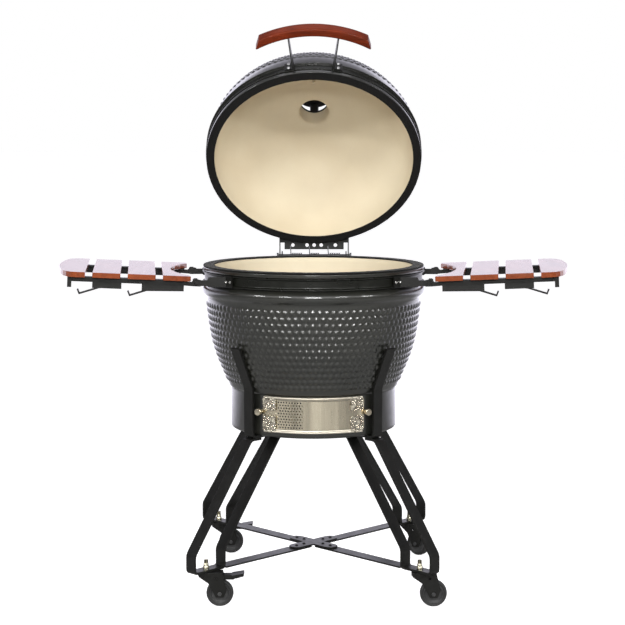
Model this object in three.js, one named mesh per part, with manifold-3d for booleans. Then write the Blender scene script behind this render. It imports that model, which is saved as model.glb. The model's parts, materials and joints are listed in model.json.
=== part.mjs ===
// Kamado ceramic grill on a wheeled stand, with two folding side tables.
// Millimetres, +Z up, the front faces -Y, the origin is on the floor under the middle of the
// open grill. Every piece is laid out about the bowl's axis and moved there at the end.
// The lid stands open by LID_OPEN degrees at rest.
import * as THREE from "three";
import { mergeVertices } from "three/addons/utils/BufferGeometryUtils.js";
import Module from "manifold-3d";

const wasm = await Module();
wasm.setup();

// ---- Driving dimensions ----
const GAP = 0.3; // clearance between neighbouring pieces
const SEGMENTS = 32; // facets round the large ceramic shells
const INSERT_SEGMENTS = 28; // facets round what stands inside the bowl

const BOWL_AXIS_Y = -59; // the open lid reaches back, so the bowl stands ahead of the middle
const RIM_RADIUS = 275; // outside of the bowl's and the lid's rims
const RIM_Z = 803; // top of the bowl's gasket
const GASKET_THICKNESS = 3.7;
const BASE_MOUTH_RADIUS = 247;
const LID_MOUTH_RADIUS = 254;
const BAND_RADIUS = 277; // outside of both steel bands
const BAND_SEAT_RADIUS = 268;
const BOWL_BOTTOM = 396;
const FOOT_RADIUS = 207;
const FOOT_TOP = 499;
const BOWL_FLOOR = 418;

const LID_OPEN = 53;
const HINGE = { y: 316, z: 798, rodRadius: 4.5, eyeRadius: 12.5 };
const SPRING = { radius: 7.2, wireRadius: 1.5, stepsPerTurn: 8 };
const DOME = { outerDepth: 235, outerPower: 2.35, innerDepth: 207, innerPower: 2.2 };
const LID_Z = RIM_Z + 1; // underside of the lid's gasket when the lid is closed
const CHIMNEY_RADIUS = 38;
const CHIMNEY_TOP = LID_Z + 260;
const THROAT_FLARE = 12;

const STRIP = { width: 30, thickness: 6 }; // flat bar of the stand
const CORNERS = { front_left: 225, front_right: 315, rear_right: 45, rear_left: 135 };
const FOOT_BAR_Z = 88;
const BRACE_WIDTH = 34;
const CASTER = { radius: 362, wheelRadius: 32.5, trail: 33, forkTop: 84 };
const CASTER_HEADING = { front_left: 0, front_right: 0, rear_right: -40, rear_left: 0 };
const BRAKED_CORNERS = ["front_left", "rear_left"];

// Distances out from the bowl (u), across the table (w) and up; the inner slat is cut back
// to reliefRadius round the bowl.
const TABLE = { swing: 6, tilt: 2.8, halfDepth: 200, pivotU: 297.3, pivotW: 171, pivotZ: 774 };
const SLAT = { bottom: 4.5, thickness: 12.5, reliefRadius: 357 };
const SLAT_SPANS = [
  [312, 378],
  [395, 461],
  [478, 544],
  [561, 629],
];
const RAIL = { inner: 287.3, webStart: 327, outer: 603, footWidth: 10, depth: 22, shallow: 8 };
const HOOK_ROOTS = [410, 529];

const HANDLE = {
  outer: 374,
  inner: 352,
  bottom: 846,
  top: 874,
  bow: 290,
  half: 138,
  postAngle: 10.2,
  postReach: 349,
};
const THERMOMETER = { radius: 130, caseRadius: 30, caseHeight: 20, stemLength: 41 };

const DRAFT = { innerRadius: 207.4, outerRadius: 216, bottom: 409.5, top: 497.5 };
const DRAFT_HALF_ANGLE = 36.3;
const WINDOW_HALF_ANGLE = 24.9;

// ---- Finishes ----
const finishes = {
  glaze: { color: 0x3b3c38, roughness: 0.22, metalness: 0.0 },
  felt: { color: 0x232322, roughness: 0.95, metalness: 0.0 },
  fireclay: { color: 0xd9c9a4, roughness: 0.85, metalness: 0.0 },
  black_steel: { color: 0x2c2b2d, roughness: 0.5, metalness: 0.4 },
  band_steel: { color: 0x34342f, roughness: 0.35, metalness: 0.6 },
  stainless: { color: 0xb5ad96, roughness: 0.3, metalness: 0.9 },
  cast_iron: { color: 0x2a2a2a, roughness: 0.8, metalness: 0.6 },
  wood: { color: 0x9a4a28, roughness: 0.55, metalness: 0.0 },
  spring_steel: { color: 0x777777, roughness: 0.35, metalness: 0.9 },
  tyre_rubber: { color: 0x2f2f2e, roughness: 0.8, metalness: 0.0 },
  needle_red: { color: 0xb02a20, roughness: 0.5, metalness: 0.0 },
};

function named(name, solid, finish) {
  const mesh = new THREE.Mesh(geometryOf(solid), new THREE.MeshStandardMaterial(finishes[finish]));
  mesh.name = name;
  return mesh;
}

// ---- Solids: closed three.js geometry in, joined or cut solids out ----
function solidOf(geometry) {
  const bare = geometry.clone();
  bare.deleteAttribute("normal");
  bare.deleteAttribute("uv");
  const merged = mergeVertices(bare, 1e-4);
  const triVerts = new Uint32Array(merged.index.array);
  const make = () =>
    new wasm.Manifold(
      new wasm.Mesh({ numProp: 3, vertProperties: merged.attributes.position.array, triVerts }),
    );
  const made = make();
  if (made.volume() > 0) return made;
  for (let i = 0; i < triVerts.length; i += 3) {
    [triVerts[i + 1], triVerts[i + 2]] = [triVerts[i + 2], triVerts[i + 1]];
  }
  return make();
}

function geometryOf(solid) {
  const mesh = solid.getMesh();
  const geometry = new THREE.BufferGeometry();
  geometry.setAttribute("position", new THREE.BufferAttribute(mesh.vertProperties, 3));
  geometry.setIndex(new THREE.BufferAttribute(mesh.triVerts, 1));
  geometry.computeVertexNormals();
  return geometry;
}

const join = (...solids) => solids.reduce((sum, next) => sum.add(next));
const cut = (solid, ...tools) => tools.reduce((left, tool) => left.subtract(tool), solid);

const degrees = THREE.MathUtils.degToRad;
const moved = (geometry, x, y, z) => geometry.translate(x, y, z);

function box(sizeX, sizeY, sizeZ, x, y, z) {
  return solidOf(moved(new THREE.BoxGeometry(sizeX, sizeY, sizeZ), x, y, z));
}

// A cylinder about the Z axis between two heights.
function post(radius, bottom, top, x = 0, y = 0, sides = 16) {
  const geometry = new THREE.CylinderGeometry(radius, radius, top - bottom, sides);
  geometry.rotateX(Math.PI / 2);
  return solidOf(moved(geometry, x, y, (bottom + top) / 2));
}

// A cylinder about a line parallel to X.
function crossRod(radius, fromX, toX, y, z, sides = 16) {
  const geometry = new THREE.CylinderGeometry(radius, radius, toX - fromX, sides);
  geometry.rotateZ(Math.PI / 2);
  return solidOf(moved(geometry, (fromX + toX) / 2, y, z));
}

// A cylinder about a line parallel to Y.
function depthRod(radius, fromY, toY, x, z, sides = 16) {
  const geometry = new THREE.CylinderGeometry(radius, radius, toY - fromY, sides);
  return solidOf(moved(geometry, x, (fromY + toY) / 2, z));
}

// A solid of revolution about Z from (radius, height) points.
function turned(points, segments = SEGMENTS) {
  const outline = points.map(([radius, height]) => new THREE.Vector2(radius, height));
  const geometry = new THREE.LatheGeometry(outline, segments);
  geometry.rotateX(Math.PI / 2);
  return solidOf(geometry);
}

function ring(inner, outer, bottom, top, segments = SEGMENTS) {
  const profile = [
    [inner, bottom],
    [outer, bottom],
    [outer, top],
    [inner, top],
    [inner, bottom],
  ];
  return turned(profile, segments);
}

// An outline in (a, b) extruded by a thickness along its normal, centred on it.
function plate(points, thickness, holes = []) {
  const shape = new THREE.Shape(points.map(([a, b]) => new THREE.Vector2(a, b)));
  shape.holes = holes;
  const settings = { depth: thickness, bevelEnabled: false, curveSegments: 8 };
  return new THREE.ExtrudeGeometry(shape, settings).translate(0, 0, -thickness / 2);
}

function roundHole(a, b, radius) {
  const hole = new THREE.Path();
  hole.absarc(a, b, radius, 0, 2 * Math.PI, true);
  return hole;
}

// The (a, b) outline becomes (along X, along Z), with the thickness along Y.
const standing = (geometry) => geometry.rotateX(Math.PI / 2);
// The (a, b) outline becomes (along Y, along Z), with the thickness along X.
const sideways = (geometry) => geometry.rotateX(Math.PI / 2).rotateZ(Math.PI / 2);

// Azimuth 0 points to the front (-Y) and grows towards +X.
function arcSector(inner, outer, from, to, bottom, top, steps = 8) {
  const shape = new THREE.Shape();
  const start = degrees(from - 90);
  const end = degrees(to - 90);
  shape.absarc(0, 0, outer, start, end, false);
  shape.absarc(0, 0, inner, end, start, true);
  const geometry = new THREE.ExtrudeGeometry(shape, {
    depth: top - bottom,
    bevelEnabled: false,
    curveSegments: steps,
  });
  return solidOf(geometry.translate(0, 0, bottom));
}

// The side outline of a strip of the given thickness that follows a centre line.
function stripOutline(path, thickness) {
  const left = [];
  const right = [];
  path.forEach(([a, b], i) => {
    const [a0, b0] = path[Math.max(i - 1, 0)];
    const [a1, b1] = path[Math.min(i + 1, path.length - 1)];
    const before = new THREE.Vector2(a - a0, b - b0).normalize();
    const after = new THREE.Vector2(a1 - a, b1 - b).normalize();
    if (i === 0) before.copy(after);
    if (i === path.length - 1) after.copy(before);
    const tangent = before.clone().add(after).normalize();
    const reach = thickness / 2 / tangent.dot(before);
    left.push([a - tangent.y * reach, b + tangent.x * reach]);
    right.push([a + tangent.y * reach, b - tangent.x * reach]);
  });
  return [...left, ...right.reverse()];
}

// Bends of a flat bar: each inner corner of the path becomes a short arc.
function withBends(path, radius, steps = 3) {
  const bent = [path[0]];
  for (let i = 1; i < path.length - 1; i++) {
    const corner = new THREE.Vector2(...path[i]);
    const toPrevious = new THREE.Vector2(...path[i - 1]).sub(corner).normalize();
    const toNext = new THREE.Vector2(...path[i + 1]).sub(corner).normalize();
    const from = corner.clone().addScaledVector(toPrevious, radius);
    const to = corner.clone().addScaledVector(toNext, radius);
    const bend = new THREE.QuadraticBezierCurve(from, corner, to);
    bend.getPoints(steps).forEach((point) => bent.push([point.x, point.y]));
  }
  bent.push(path.at(-1));
  return bent;
}

function bentStrip(path, thickness, width, bendRadius = 8) {
  return standing(plate(stripOutline(withBends(path, bendRadius), thickness), width));
}

// A round wire along a curve.
function wire(curve, radius, steps, sides = 6) {
  const section = new THREE.Shape();
  section.absarc(0, 0, radius, 0, 2 * Math.PI, false);
  const settings = { steps, extrudePath: curve, curveSegments: sides / 2, bevelEnabled: false };
  return solidOf(new THREE.ExtrudeGeometry(section, settings));
}

// A quarter of a superellipse from radius a on the rim up to a small radius at the top.
function domeCurve(a, depth, power, fromHeight, toRadius, steps) {
  const start = Math.asin((fromHeight / depth) ** (power / 2));
  const end = Math.acos((toRadius / a) ** (power / 2));
  return Array.from({ length: steps + 1 }, (_, i) => {
    const angle = start + ((end - start) * i) / steps;
    return [a * Math.cos(angle) ** (2 / power), depth * Math.sin(angle) ** (2 / power)];
  });
}

// ---- Bowl and what stands in it ----
function bowlProfile() {
  const rimTop = RIM_Z - GASKET_THICKNESS - GAP;
  const outside = [
    [0, BOWL_BOTTOM],
    [198, BOWL_BOTTOM],
    [205, BOWL_BOTTOM + 3],
    [FOOT_RADIUS, BOWL_BOTTOM + 10],
    [FOOT_RADIUS, FOOT_TOP],
    [211, FOOT_TOP + 3],
    [223, 535],
    [234, 560],
    [243.5, 585],
    [252, 615],
    [258.5, 650],
    [263.5, 688],
    [266.5, 716],
    [276, 733],
    [278, 741],
    [276, 753],
    [BAND_SEAT_RADIUS, 759.5],
    [BAND_SEAT_RADIUS, 789.5],
    [RIM_RADIUS, 790],
    [RIM_RADIUS, rimTop],
  ];
  const inside = [
    [BASE_MOUTH_RADIUS, rimTop],
    [244, 700],
    [228, 610],
    [204, 545],
    [183, 500],
    [180, 440],
    [172, BOWL_FLOOR],
    [0, BOWL_FLOOR],
  ];
  return [...outside, ...inside];
}

function baseBowl() {
  const draftOpening = arcSector(160, 230, -18.5, 18.5, 430, 478, 4);
  return named("base_bowl", cut(turned(bowlProfile()), draftOpening), "glaze");
}

function baseGasket() {
  return named("base_gasket", ring(BASE_MOUTH_RADIUS, RIM_RADIUS, RIM_Z - GASKET_THICKNESS, RIM_Z), "felt");
}

// A band is a flat hoop with a lip turned outwards along each edge.
function bandHoop(bottom, top) {
  const seat = BAND_SEAT_RADIUS + GAP;
  const skin = seat + 3.5;
  const lip = 3;
  const profile = [
    [seat, bottom],
    [BAND_RADIUS, bottom],
    [BAND_RADIUS, bottom + lip],
    [skin, bottom + lip + 1.5],
    [skin, top - lip - 1.5],
    [BAND_RADIUS, top - lip],
    [BAND_RADIUS, top],
    [seat, top],
    [seat, bottom],
  ];
  return turned(profile);
}

function baseBand() {
  return named("base_band", bandHoop(760.5, 788.5), "band_steel");
}

function fireBox() {
  const floor = BOWL_FLOOR + GAP;
  const profile = [
    [120, floor],
    [160, floor],
    [172, 445],
    [176, 500],
    [196, 545],
    [215, 600],
    [216, 611],
    [190, 611],
    [172, 550],
    [150, 505],
    [120, 505],
    [120, floor],
  ];
  const ashSlot = arcSector(100, 190, -18, 18, 428, 478, 4);
  return named("fire_box", cut(turned(profile, INSERT_SEGMENTS), ashSlot), "fireclay");
}

function fireRing() {
  const profile = [
    [200, 611 + GAP],
    [221, 611 + GAP],
    [235, 700],
    [238, 735],
    [218, 735],
    [200, 611 + GAP],
  ];
  return named("fire_ring", turned(profile, INSERT_SEGMENTS), "fireclay");
}

// A round cast plate with straight slots in two rows.
function charcoalGrate() {
  const bottom = 505 + GAP;
  const top = bottom + 8;
  const slots = [-75, -45, -15, 15, 45, 75].flatMap((x) =>
    [-52, 52].map((y) => box(14, 72, 30, x, y, bottom)),
  );
  return named("charcoal_grate", cut(post(146, bottom, top, 0, 0, 28), ...slots), "cast_iron");
}

// Bars welded across a round rim.
function cookingGrate() {
  const bottom = 735 + GAP;
  const height = 8;
  const rim = ring(224, 232, bottom, bottom + height, 24);
  const bars = [-180, -135, -90, -45, 0, 45, 90, 135, 180].map((x) => {
    const length = 2 * Math.sqrt(226 ** 2 - x ** 2);
    return box(6, length, 5, x, 0, bottom + height - 2.5);
  });
  const brace = box(2 * 227, 6, 5, 0, 0, bottom + height - 2.5);
  return named("cooking_grate", join(rim, brace, ...bars), "stainless");
}

// ---- Draft door: a channel round the foot with two sliding panels ----
function draftFrame() {
  const { innerRadius, outerRadius, bottom, top } = DRAFT;
  const rail = 8.5;
  const lip = outerRadius - 1.6;
  const arc = [-DRAFT_HALF_ANGLE, DRAFT_HALF_ANGLE];
  const back = arcSector(innerRadius, innerRadius + 1.4, ...arc, bottom, top, 9);
  const rails = [
    [bottom, bottom + rail],
    [top - rail, top],
  ].map(([low, high]) => arcSector(innerRadius, outerRadius, ...arc, low, high, 9));
  const ends = [-1, 1].map((side) => {
    const angles = [side * WINDOW_HALF_ANGLE, side * DRAFT_HALF_ANGLE].sort((a, b) => a - b);
    return arcSector(lip, outerRadius, ...angles, bottom, top, 4);
  });
  const window = arcSector(200, 240, -20, 20, bottom + rail + 4, top - rail - 4, 6);
  const slots = arcSector(lip - 1, 240, -DRAFT_HALF_ANGLE - 1, DRAFT_HALF_ANGLE + 1, 446, 461, 9);
  return named("draft_frame", cut(join(back, ...rails, ...ends), window, slots), "stainless");
}

function knobAt(azimuth, fromRadius) {
  const height = (DRAFT.bottom + DRAFT.top) / 2;
  const stud = depthRod(3, -219, -fromRadius, 0, 0, 10);
  const grip = depthRod(8.5, -226, -217.5, 0, 0, 14);
  return join(stud, grip).rotate([0, 0, azimuth]).translate([0, 0, height]);
}

function draftScreen() {
  const panel = arcSector(209.4, 210.6, -39, 7, 418.6, 488.4, 8);
  const holes = [];
  for (let azimuth = -20; azimuth <= 0; azimuth += 5) {
    for (let z = 434; z <= 474; z += 20) {
      holes.push(depthRod(4, -215, -205, 0, z, 6).rotate([0, 0, azimuth]));
    }
  }
  return named("draft_screen", join(cut(panel, ...holes), knobAt(-37.8, 210)), "stainless");
}

function draftDoor() {
  const panel = arcSector(212, 213.2, -6.8, 39, 418.6, 488.4, 8);
  return named("draft_door", join(panel, knobAt(37.8, 212.6)), "stainless");
}

// ---- Stand ----
const atCorner = (geometry, corner) => solidOf(geometry.rotateZ(degrees(CORNERS[corner])));

function cradle() {
  const floor = BOWL_BOTTOM - GAP - STRIP.thickness / 2;
  const path = [
    [264, 614],
    [220, 512],
    [220, floor],
    [0, floor],
  ];
  const arms = Object.keys(CORNERS).map((corner) =>
    atCorner(bentStrip(path, STRIP.thickness, STRIP.width), corner),
  );
  return named("cradle", join(...arms), "black_steel");
}

// One bar bent into two parallel legs and the foot between them.
function legPath() {
  const tab = BOWL_BOTTOM - 2 * GAP - 1.5 * STRIP.thickness;
  return [
    [193, tab],
    [225, tab],
    [409, 131],
    [409, FOOT_BAR_Z],
    [315, FOOT_BAR_Z],
    [315, 133],
    [129, tab],
    [98, tab],
  ];
}

function leg(corner) {
  const bar = atCorner(bentStrip(legPath(), STRIP.thickness, STRIP.width), corner);
  const turn = degrees(CORNERS[corner]);
  const x = CASTER.radius * Math.cos(turn);
  const y = CASTER.radius * Math.sin(turn);
  return named("leg_" + corner, cut(bar, post(5.6, 60, 130, x, y)), "black_steel");
}

function brace(corner) {
  const bar = box(289.7, BRACE_WIDTH, 4, 166.85, 0, FOOT_BAR_Z);
  return named("brace_" + corner, bar.rotate([0, 0, CORNERS[corner]]), "black_steel");
}

// Four rounded lobes over the inner ends of the braces.
function braceHub() {
  const bottom = FOOT_BAR_Z + 2 + GAP;
  const top = bottom + 4;
  const lobes = Object.values(CORNERS).map((turn) => {
    const arm = box(59, 38, top - bottom, 29.5, 0, (bottom + top) / 2);
    return join(arm, post(19, bottom, top, 59)).rotate([0, 0, turn]);
  });
  return named("brace_hub", join(...lobes), "black_steel");
}

// ---- Casters: local +X trails behind the stem, local Z = 0 is the floor ----
function fork() {
  const { wheelRadius, trail, forkTop } = CASTER;
  const cap = join(post(20, 74, forkTop, 0, 0, 12), post(5, forkTop - 1, 113, 0, 0, 8));
  const top = box(57, 32, 4, 11.5, 0, forkTop - 2);
  const outline = [
    [-17, forkTop - 1],
    [-17, 74],
    [6, 58],
    [24, 24],
    [42, 24],
    [50, 42],
    [40, forkTop - 1],
  ];
  const cheeks = [-14.5, 14.5].map((y) => solidOf(moved(standing(plate(outline, 3)), 0, y, 0)));
  const axleHole = depthRod(4.5, -30, 30, trail, wheelRadius, 10);
  const pedalHole = depthRod(3.4, -30, 30, 24, 70, 8);
  return cut(join(cap, top, ...cheeks), axleHole, pedalHole);
}

function wheel() {
  const { wheelRadius, trail } = CASTER;
  const half = 10;
  const profile = [
    [0, -half],
    [wheelRadius - 4, -half],
    [wheelRadius, -half + 4],
    [wheelRadius, half - 4],
    [wheelRadius - 4, half],
    [0, half],
  ];
  const tread = turned(profile, 24).rotate([90, 0, 0]).translate([trail, 0, wheelRadius]);
  return join(tread, depthRod(4, -18, 18, trail, wheelRadius, 10));
}

// A lever on a pin between the cheeks, with a wider pad that rises to its tip.
function pedal() {
  const leverOutline = [
    [20, 66.5],
    [66, 66.5],
    [74, 72],
    [70, 78],
    [20, 77.5],
  ];
  const padOutline = [
    [62, 70],
    [74, 71],
    [91, 76],
    [91, 83],
    [62, 78],
  ];
  const lever = solidOf(standing(plate(leverOutline, 22)));
  const pad = solidOf(standing(plate(padOutline, 34)));
  const pivot = depthRod(3, -18, 18, 24, 70, 10);
  const eye = depthRod(5, -11, 11, 24, 70, 10);
  return join(lever, pad, eye, pivot);
}

function casterGroup(corner) {
  const group = new THREE.Group();
  const turn = degrees(CORNERS[corner]);
  group.position.set(CASTER.radius * Math.cos(turn), CASTER.radius * Math.sin(turn), 0);
  group.rotation.z = degrees(CASTER_HEADING[corner]);
  group.add(named("caster_fork_" + corner, fork(), "black_steel"));
  group.add(named("caster_wheel_" + corner, wheel(), "tyre_rubber"));
  if (BRAKED_CORNERS.includes(corner)) {
    group.add(named("brake_pedal_" + corner, pedal(), "black_steel"));
  }
  return group;
}

// ---- Side tables: local u runs out from the bowl, w across it, and z is up from the pivot ----
function slatShape(index) {
  const [inner, outer] = SLAT_SPANS[index];
  const half = TABLE.halfDepth;
  const shape = new THREE.Shape();
  shape.moveTo(inner, -half);
  if (index === SLAT_SPANS.length - 1) {
    const shoulder = outer - 46;
    shape.lineTo(shoulder, -half);
    shape.quadraticCurveTo(outer - 12, -half, outer - 6, -half * 0.5);
    shape.quadraticCurveTo(outer + 6, 0, outer - 6, half * 0.5);
    shape.quadraticCurveTo(outer - 12, half, shoulder, half);
  } else {
    shape.lineTo(outer, -half);
    shape.lineTo(outer, half);
  }
  shape.lineTo(inner, half);
  return shape;
}

function slat(index) {
  const geometry = new THREE.ExtrudeGeometry(slatShape(index), {
    depth: SLAT.thickness,
    bevelEnabled: false,
    curveSegments: 5,
  });
  const board = solidOf(geometry.translate(0, 0, SLAT.bottom));
  if (index > 0) return board;
  return cut(board, post(SLAT.reliefRadius, -10, 30, 0, 0, 48));
}

// A sheet-metal hook for tools, bent down and outwards from the rail's lower edge.
function toolHook(rootU) {
  const path = [
    [rootU - 12, -19.5],
    [rootU, -21],
    [rootU + 45, -36.5],
    [rootU + 49.5, -26],
  ];
  return solidOf(standing(plate(stripOutline(path, 3.5), 14)));
}

// The web's side view: an eye round the pivot pin, deep spans hanging from a shallow strip,
// and a foot at the outer end. Each span is [from, to, depth at from, depth at to].
function webOutline(deepSpans) {
  const { inner, webStart, outer, footWidth, depth, shallow } = RAIL;
  const top = 1.5;
  const lower = deepSpans.flatMap(([from, to, depthFrom, depthTo]) => [
    [from, -shallow],
    [from, -depthFrom],
    [to, -depthTo],
    [to, -shallow],
  ]);
  return [
    [outer, top],
    [inner + 22, top],
    [inner + 14, 9],
    [inner, 7],
    [inner, -9],
    [webStart - 22, -9],
    ...lower,
    [outer - footWidth, -shallow],
    [outer - footWidth, -depth],
    [outer, -depth],
  ];
}

// An angle bar under the slats; the web hangs at the outer side and turns on the pivot pin.
function rail(side, hasHooks) {
  const { webStart, outer, depth } = RAIL;
  const w = side * TABLE.pivotW;
  const start = webStart - 9;
  const flangeZ = SLAT.bottom - 1.5 - GAP;
  const flange = box(outer - start, 22, 3, (outer + start) / 2, w - side * 9.5, flangeZ);
  const frontSpans = [
    [webStart, 427, depth, depth + 3],
    [475, 544, depth, depth],
  ];
  const rearSpans = [[webStart, outer - 30, 16, 16]];
  const outline = webOutline(hasHooks ? frontSpans : rearSpans);
  const web = solidOf(moved(standing(plate(outline, 3)), 0, w, 0));
  const roots = hasHooks ? HOOK_ROOTS : [];
  const hooks = roots.map((u) => toolHook(u).translate([0, w - side * 5, 0]));
  const pinHole = depthRod(4.5, -250, 250, TABLE.pivotU, 0, 12);
  return cut(join(flange, web, ...hooks), pinHole);
}

function tableGroup(side) {
  const swing = new THREE.Group();
  swing.rotation.z = degrees(side === "right" ? -TABLE.swing : 180 + TABLE.swing);
  const tilt = new THREE.Group();
  tilt.position.set(TABLE.pivotU, 0, TABLE.pivotZ);
  tilt.rotation.y = degrees(-TABLE.tilt);
  const board = new THREE.Group();
  board.position.x = -TABLE.pivotU;
  SLAT_SPANS.forEach((_, i) => board.add(named(`slat_${side}_${i + 1}`, slat(i), "wood")));
  const front = side === "right" ? -1 : 1;
  board.add(named(`table_rail_${side}_front`, rail(front, true), "black_steel"));
  board.add(named(`table_rail_${side}_rear`, rail(-front, false), "black_steel"));
  tilt.add(board);
  swing.add(tilt);
  for (const w of [front, -front]) {
    const place = w === front ? "front" : "rear";
    swing.add(named(`table_bracket_${side}_${place}`, tableBracket(w), "black_steel"));
  }
  return swing;
}

// A foot clamped on the bowl's band, a slimmer arm with an eye at its end, and the pivot pin.
function tableBracket(side) {
  const armW = TABLE.pivotW - 8;
  const tip = TABLE.pivotU + 9;
  const outline = [
    [215, -12],
    [268, -12],
    [272, -9],
    [tip - 3, -9],
    [tip, -6],
    [tip, 7],
    [tip - 3, 10],
    [tip - 11, 10],
    [tip - 13, 5],
    [272, 5],
    [268, 12],
    [215, 12],
  ];
  const arm = solidOf(moved(standing(plate(outline, 4)), 0, armW, TABLE.pivotZ));
  const azimuth = 90 + Math.atan2(armW, 226) * THREE.MathUtils.RAD2DEG;
  const foot = arcSector(BAND_RADIUS + GAP, BAND_RADIUS + 4, azimuth - 2, azimuth + 4.5, 761, 788, 3);
  const pin = depthRod(4, armW, TABLE.pivotW + 5, TABLE.pivotU, TABLE.pivotZ, 12);
  const trimmed = cut(arm, post(BAND_RADIUS + 2 * GAP, 700, 850, 0, 0, 60));
  const bracket = join(trimmed, foot, pin);
  return side > 0 ? bracket : bracket.mirror([0, 1, 0]);
}

// ---- Lid: everything below is laid out with the lid closed ----
function domeProfile() {
  const ceramicBottom = LID_Z + GASKET_THICKNESS + GAP;
  const seatEdge = 66;
  const outside = domeCurve(RIM_RADIUS, DOME.outerDepth, DOME.outerPower, 46, seatEdge, 9);
  const throat = CHIMNEY_RADIUS + THROAT_FLARE;
  const inside = domeCurve(LID_MOUTH_RADIUS, DOME.innerDepth, DOME.innerPower, 4, throat, 8);
  const lift = ([radius, height]) => [radius, LID_Z + height];
  const flareTop = LID_Z + inside.at(-1)[1] + THROAT_FLARE;
  return [
    [LID_MOUTH_RADIUS, ceramicBottom],
    [RIM_RADIUS, ceramicBottom],
    [RIM_RADIUS, LID_Z + 15],
    [BAND_SEAT_RADIUS, LID_Z + 15.5],
    [BAND_SEAT_RADIUS, LID_Z + 45],
    ...outside.map(lift),
    [seatEdge - 3, CHIMNEY_TOP],
    [CHIMNEY_RADIUS, CHIMNEY_TOP],
    [CHIMNEY_RADIUS, flareTop],
    ...inside.reverse().map(lift),
    [LID_MOUTH_RADIUS, ceramicBottom],
  ];
}

function thermometerPlace() {
  const { outerDepth: depth, outerPower: power } = DOME;
  const r = THERMOMETER.radius / RIM_RADIUS;
  const h = (1 - r ** power) ** (1 / power);
  const lean = Math.atan2(r ** (power - 1) / RIM_RADIUS, h ** (power - 1) / depth);
  const group = new THREE.Group();
  group.position.set(0, -THERMOMETER.radius, LID_Z + depth * h);
  group.rotation.x = lean;
  return group;
}

function lidDome() {
  const place = thermometerPlace();
  place.updateMatrix();
  const stemHole = new THREE.CylinderGeometry(6, 6, 120, 12).rotateX(Math.PI / 2);
  const drill = solidOf(stemHole.applyMatrix4(place.matrix));
  return named("lid_dome", cut(turned(domeProfile()), drill), "glaze");
}

function lidGasket() {
  return named("lid_gasket", ring(LID_MOUTH_RADIUS, RIM_RADIUS, LID_Z, LID_Z + GASKET_THICKNESS), "felt");
}

function lidBand() {
  return named("lid_band", bandHoop(LID_Z + 16, LID_Z + 44.5), "band_steel");
}

function thermometer() {
  const place = thermometerPlace();
  const { caseRadius, caseHeight, stemLength } = THERMOMETER;
  const body = post(caseRadius, 1, caseHeight, 0, 0, 24);
  const recess = post(caseRadius - 4, caseHeight - 7, caseHeight + 5, 0, 0, 24);
  const stem = post(3.5, -stemLength, 2, 0, 0, 10);
  place.add(named("thermometer_case", join(cut(body, recess), stem), "stainless"));
  const needle = box(3, 26, 1, 0, 7, caseHeight - 5);
  const boss = post(4, caseHeight - 6, caseHeight - 3.5, 0, 0, 12);
  place.add(named("thermometer_pointer", join(needle, boss), "needle_red"));
  return place;
}

// Chimney: a base with four posts under a roof, and a cap with four windows that turns over it.
function ventBase() {
  const seat = CHIMNEY_TOP + GAP;
  const profile = [
    [CHIMNEY_RADIUS, seat],
    [62, seat],
    [62, seat + 5],
    [51, seat + 8],
    [51, seat + 52],
    [0, seat + 52],
    [0, seat + 48],
    [46, seat + 48],
    [46, seat + 10],
    [CHIMNEY_RADIUS, seat + 5],
    [CHIMNEY_RADIUS, seat],
  ];
  const body = turned(profile, 20);
  const windows = ventWindows(seat + 9.5, seat + 46, 40, 60);
  return named("vent_base", cut(body, ...windows), "cast_iron");
}

function ventWindows(bottom, top, inner, outer) {
  return Object.values(CORNERS).map((middle) =>
    arcSector(inner, outer, middle - 33, middle + 33, bottom, top, 3),
  );
}

function ventCap() {
  const seat = CHIMNEY_TOP + GAP;
  const bore = 52.4;
  const profile = [
    [bore, seat + 8.6],
    [55.8, seat + 8.6],
    [55.8, seat + 50],
    [60, seat + 52],
    [60, seat + 56],
    [52, seat + 63],
    [30, seat + 69],
    [0, seat + 71],
    [0, seat + 54],
    [bore, seat + 54],
    [bore, seat + 8.6],
  ];
  const body = turned(profile, 20);
  const windows = ventWindows(seat + 11.5, seat + 45, 48, 70);
  return named("vent_cap", cut(body, ...windows), "cast_iron");
}

// The grip is an arc in plan, bowed away from the lid.
function handleGrip() {
  const { outer, inner, bottom, top, bow, half } = HANDLE;
  const centre = -outer + bow;
  const innerBow = bow - (outer - inner);
  const end = Math.asin((half - 5) / bow);
  const innerEnd = Math.asin(half / innerBow);
  const shape = new THREE.Shape();
  shape.absarc(0, centre, bow, -Math.PI / 2 - end, -Math.PI / 2 + end, false);
  shape.absarc(0, centre, innerBow, -Math.PI / 2 + innerEnd, -Math.PI / 2 - innerEnd, true);
  const geometry = new THREE.ExtrudeGeometry(shape, {
    depth: top - bottom,
    bevelEnabled: false,
    curveSegments: 14,
  });
  return named("handle_grip", solidOf(geometry.translate(0, 0, bottom)), "wood");
}

function handlePost(side) {
  const { postAngle, bottom, top } = HANDLE;
  const reach = HANDLE.postReach;
  const foot = BAND_RADIUS + GAP;
  const outline = [
    [foot, 812],
    [foot + 26, 818],
    [reach, bottom + 4],
    [reach, top - 3],
    [foot + 26, 849],
    [foot, 845],
  ];
  const arm = solidOf(standing(plate(outline, 3))).rotate([0, 0, -90 + side * postAngle]);
  const from = side > 0 ? postAngle : -postAngle - 4.6;
  const tab = arcSector(foot, foot + 3, from, from + 4.6, LID_Z + 17, LID_Z + 43, 3);
  const name = side > 0 ? "handle_post_right" : "handle_post_left";
  return named(name, join(arm, tab), "black_steel");
}

// ---- Rear hinge ----

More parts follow.
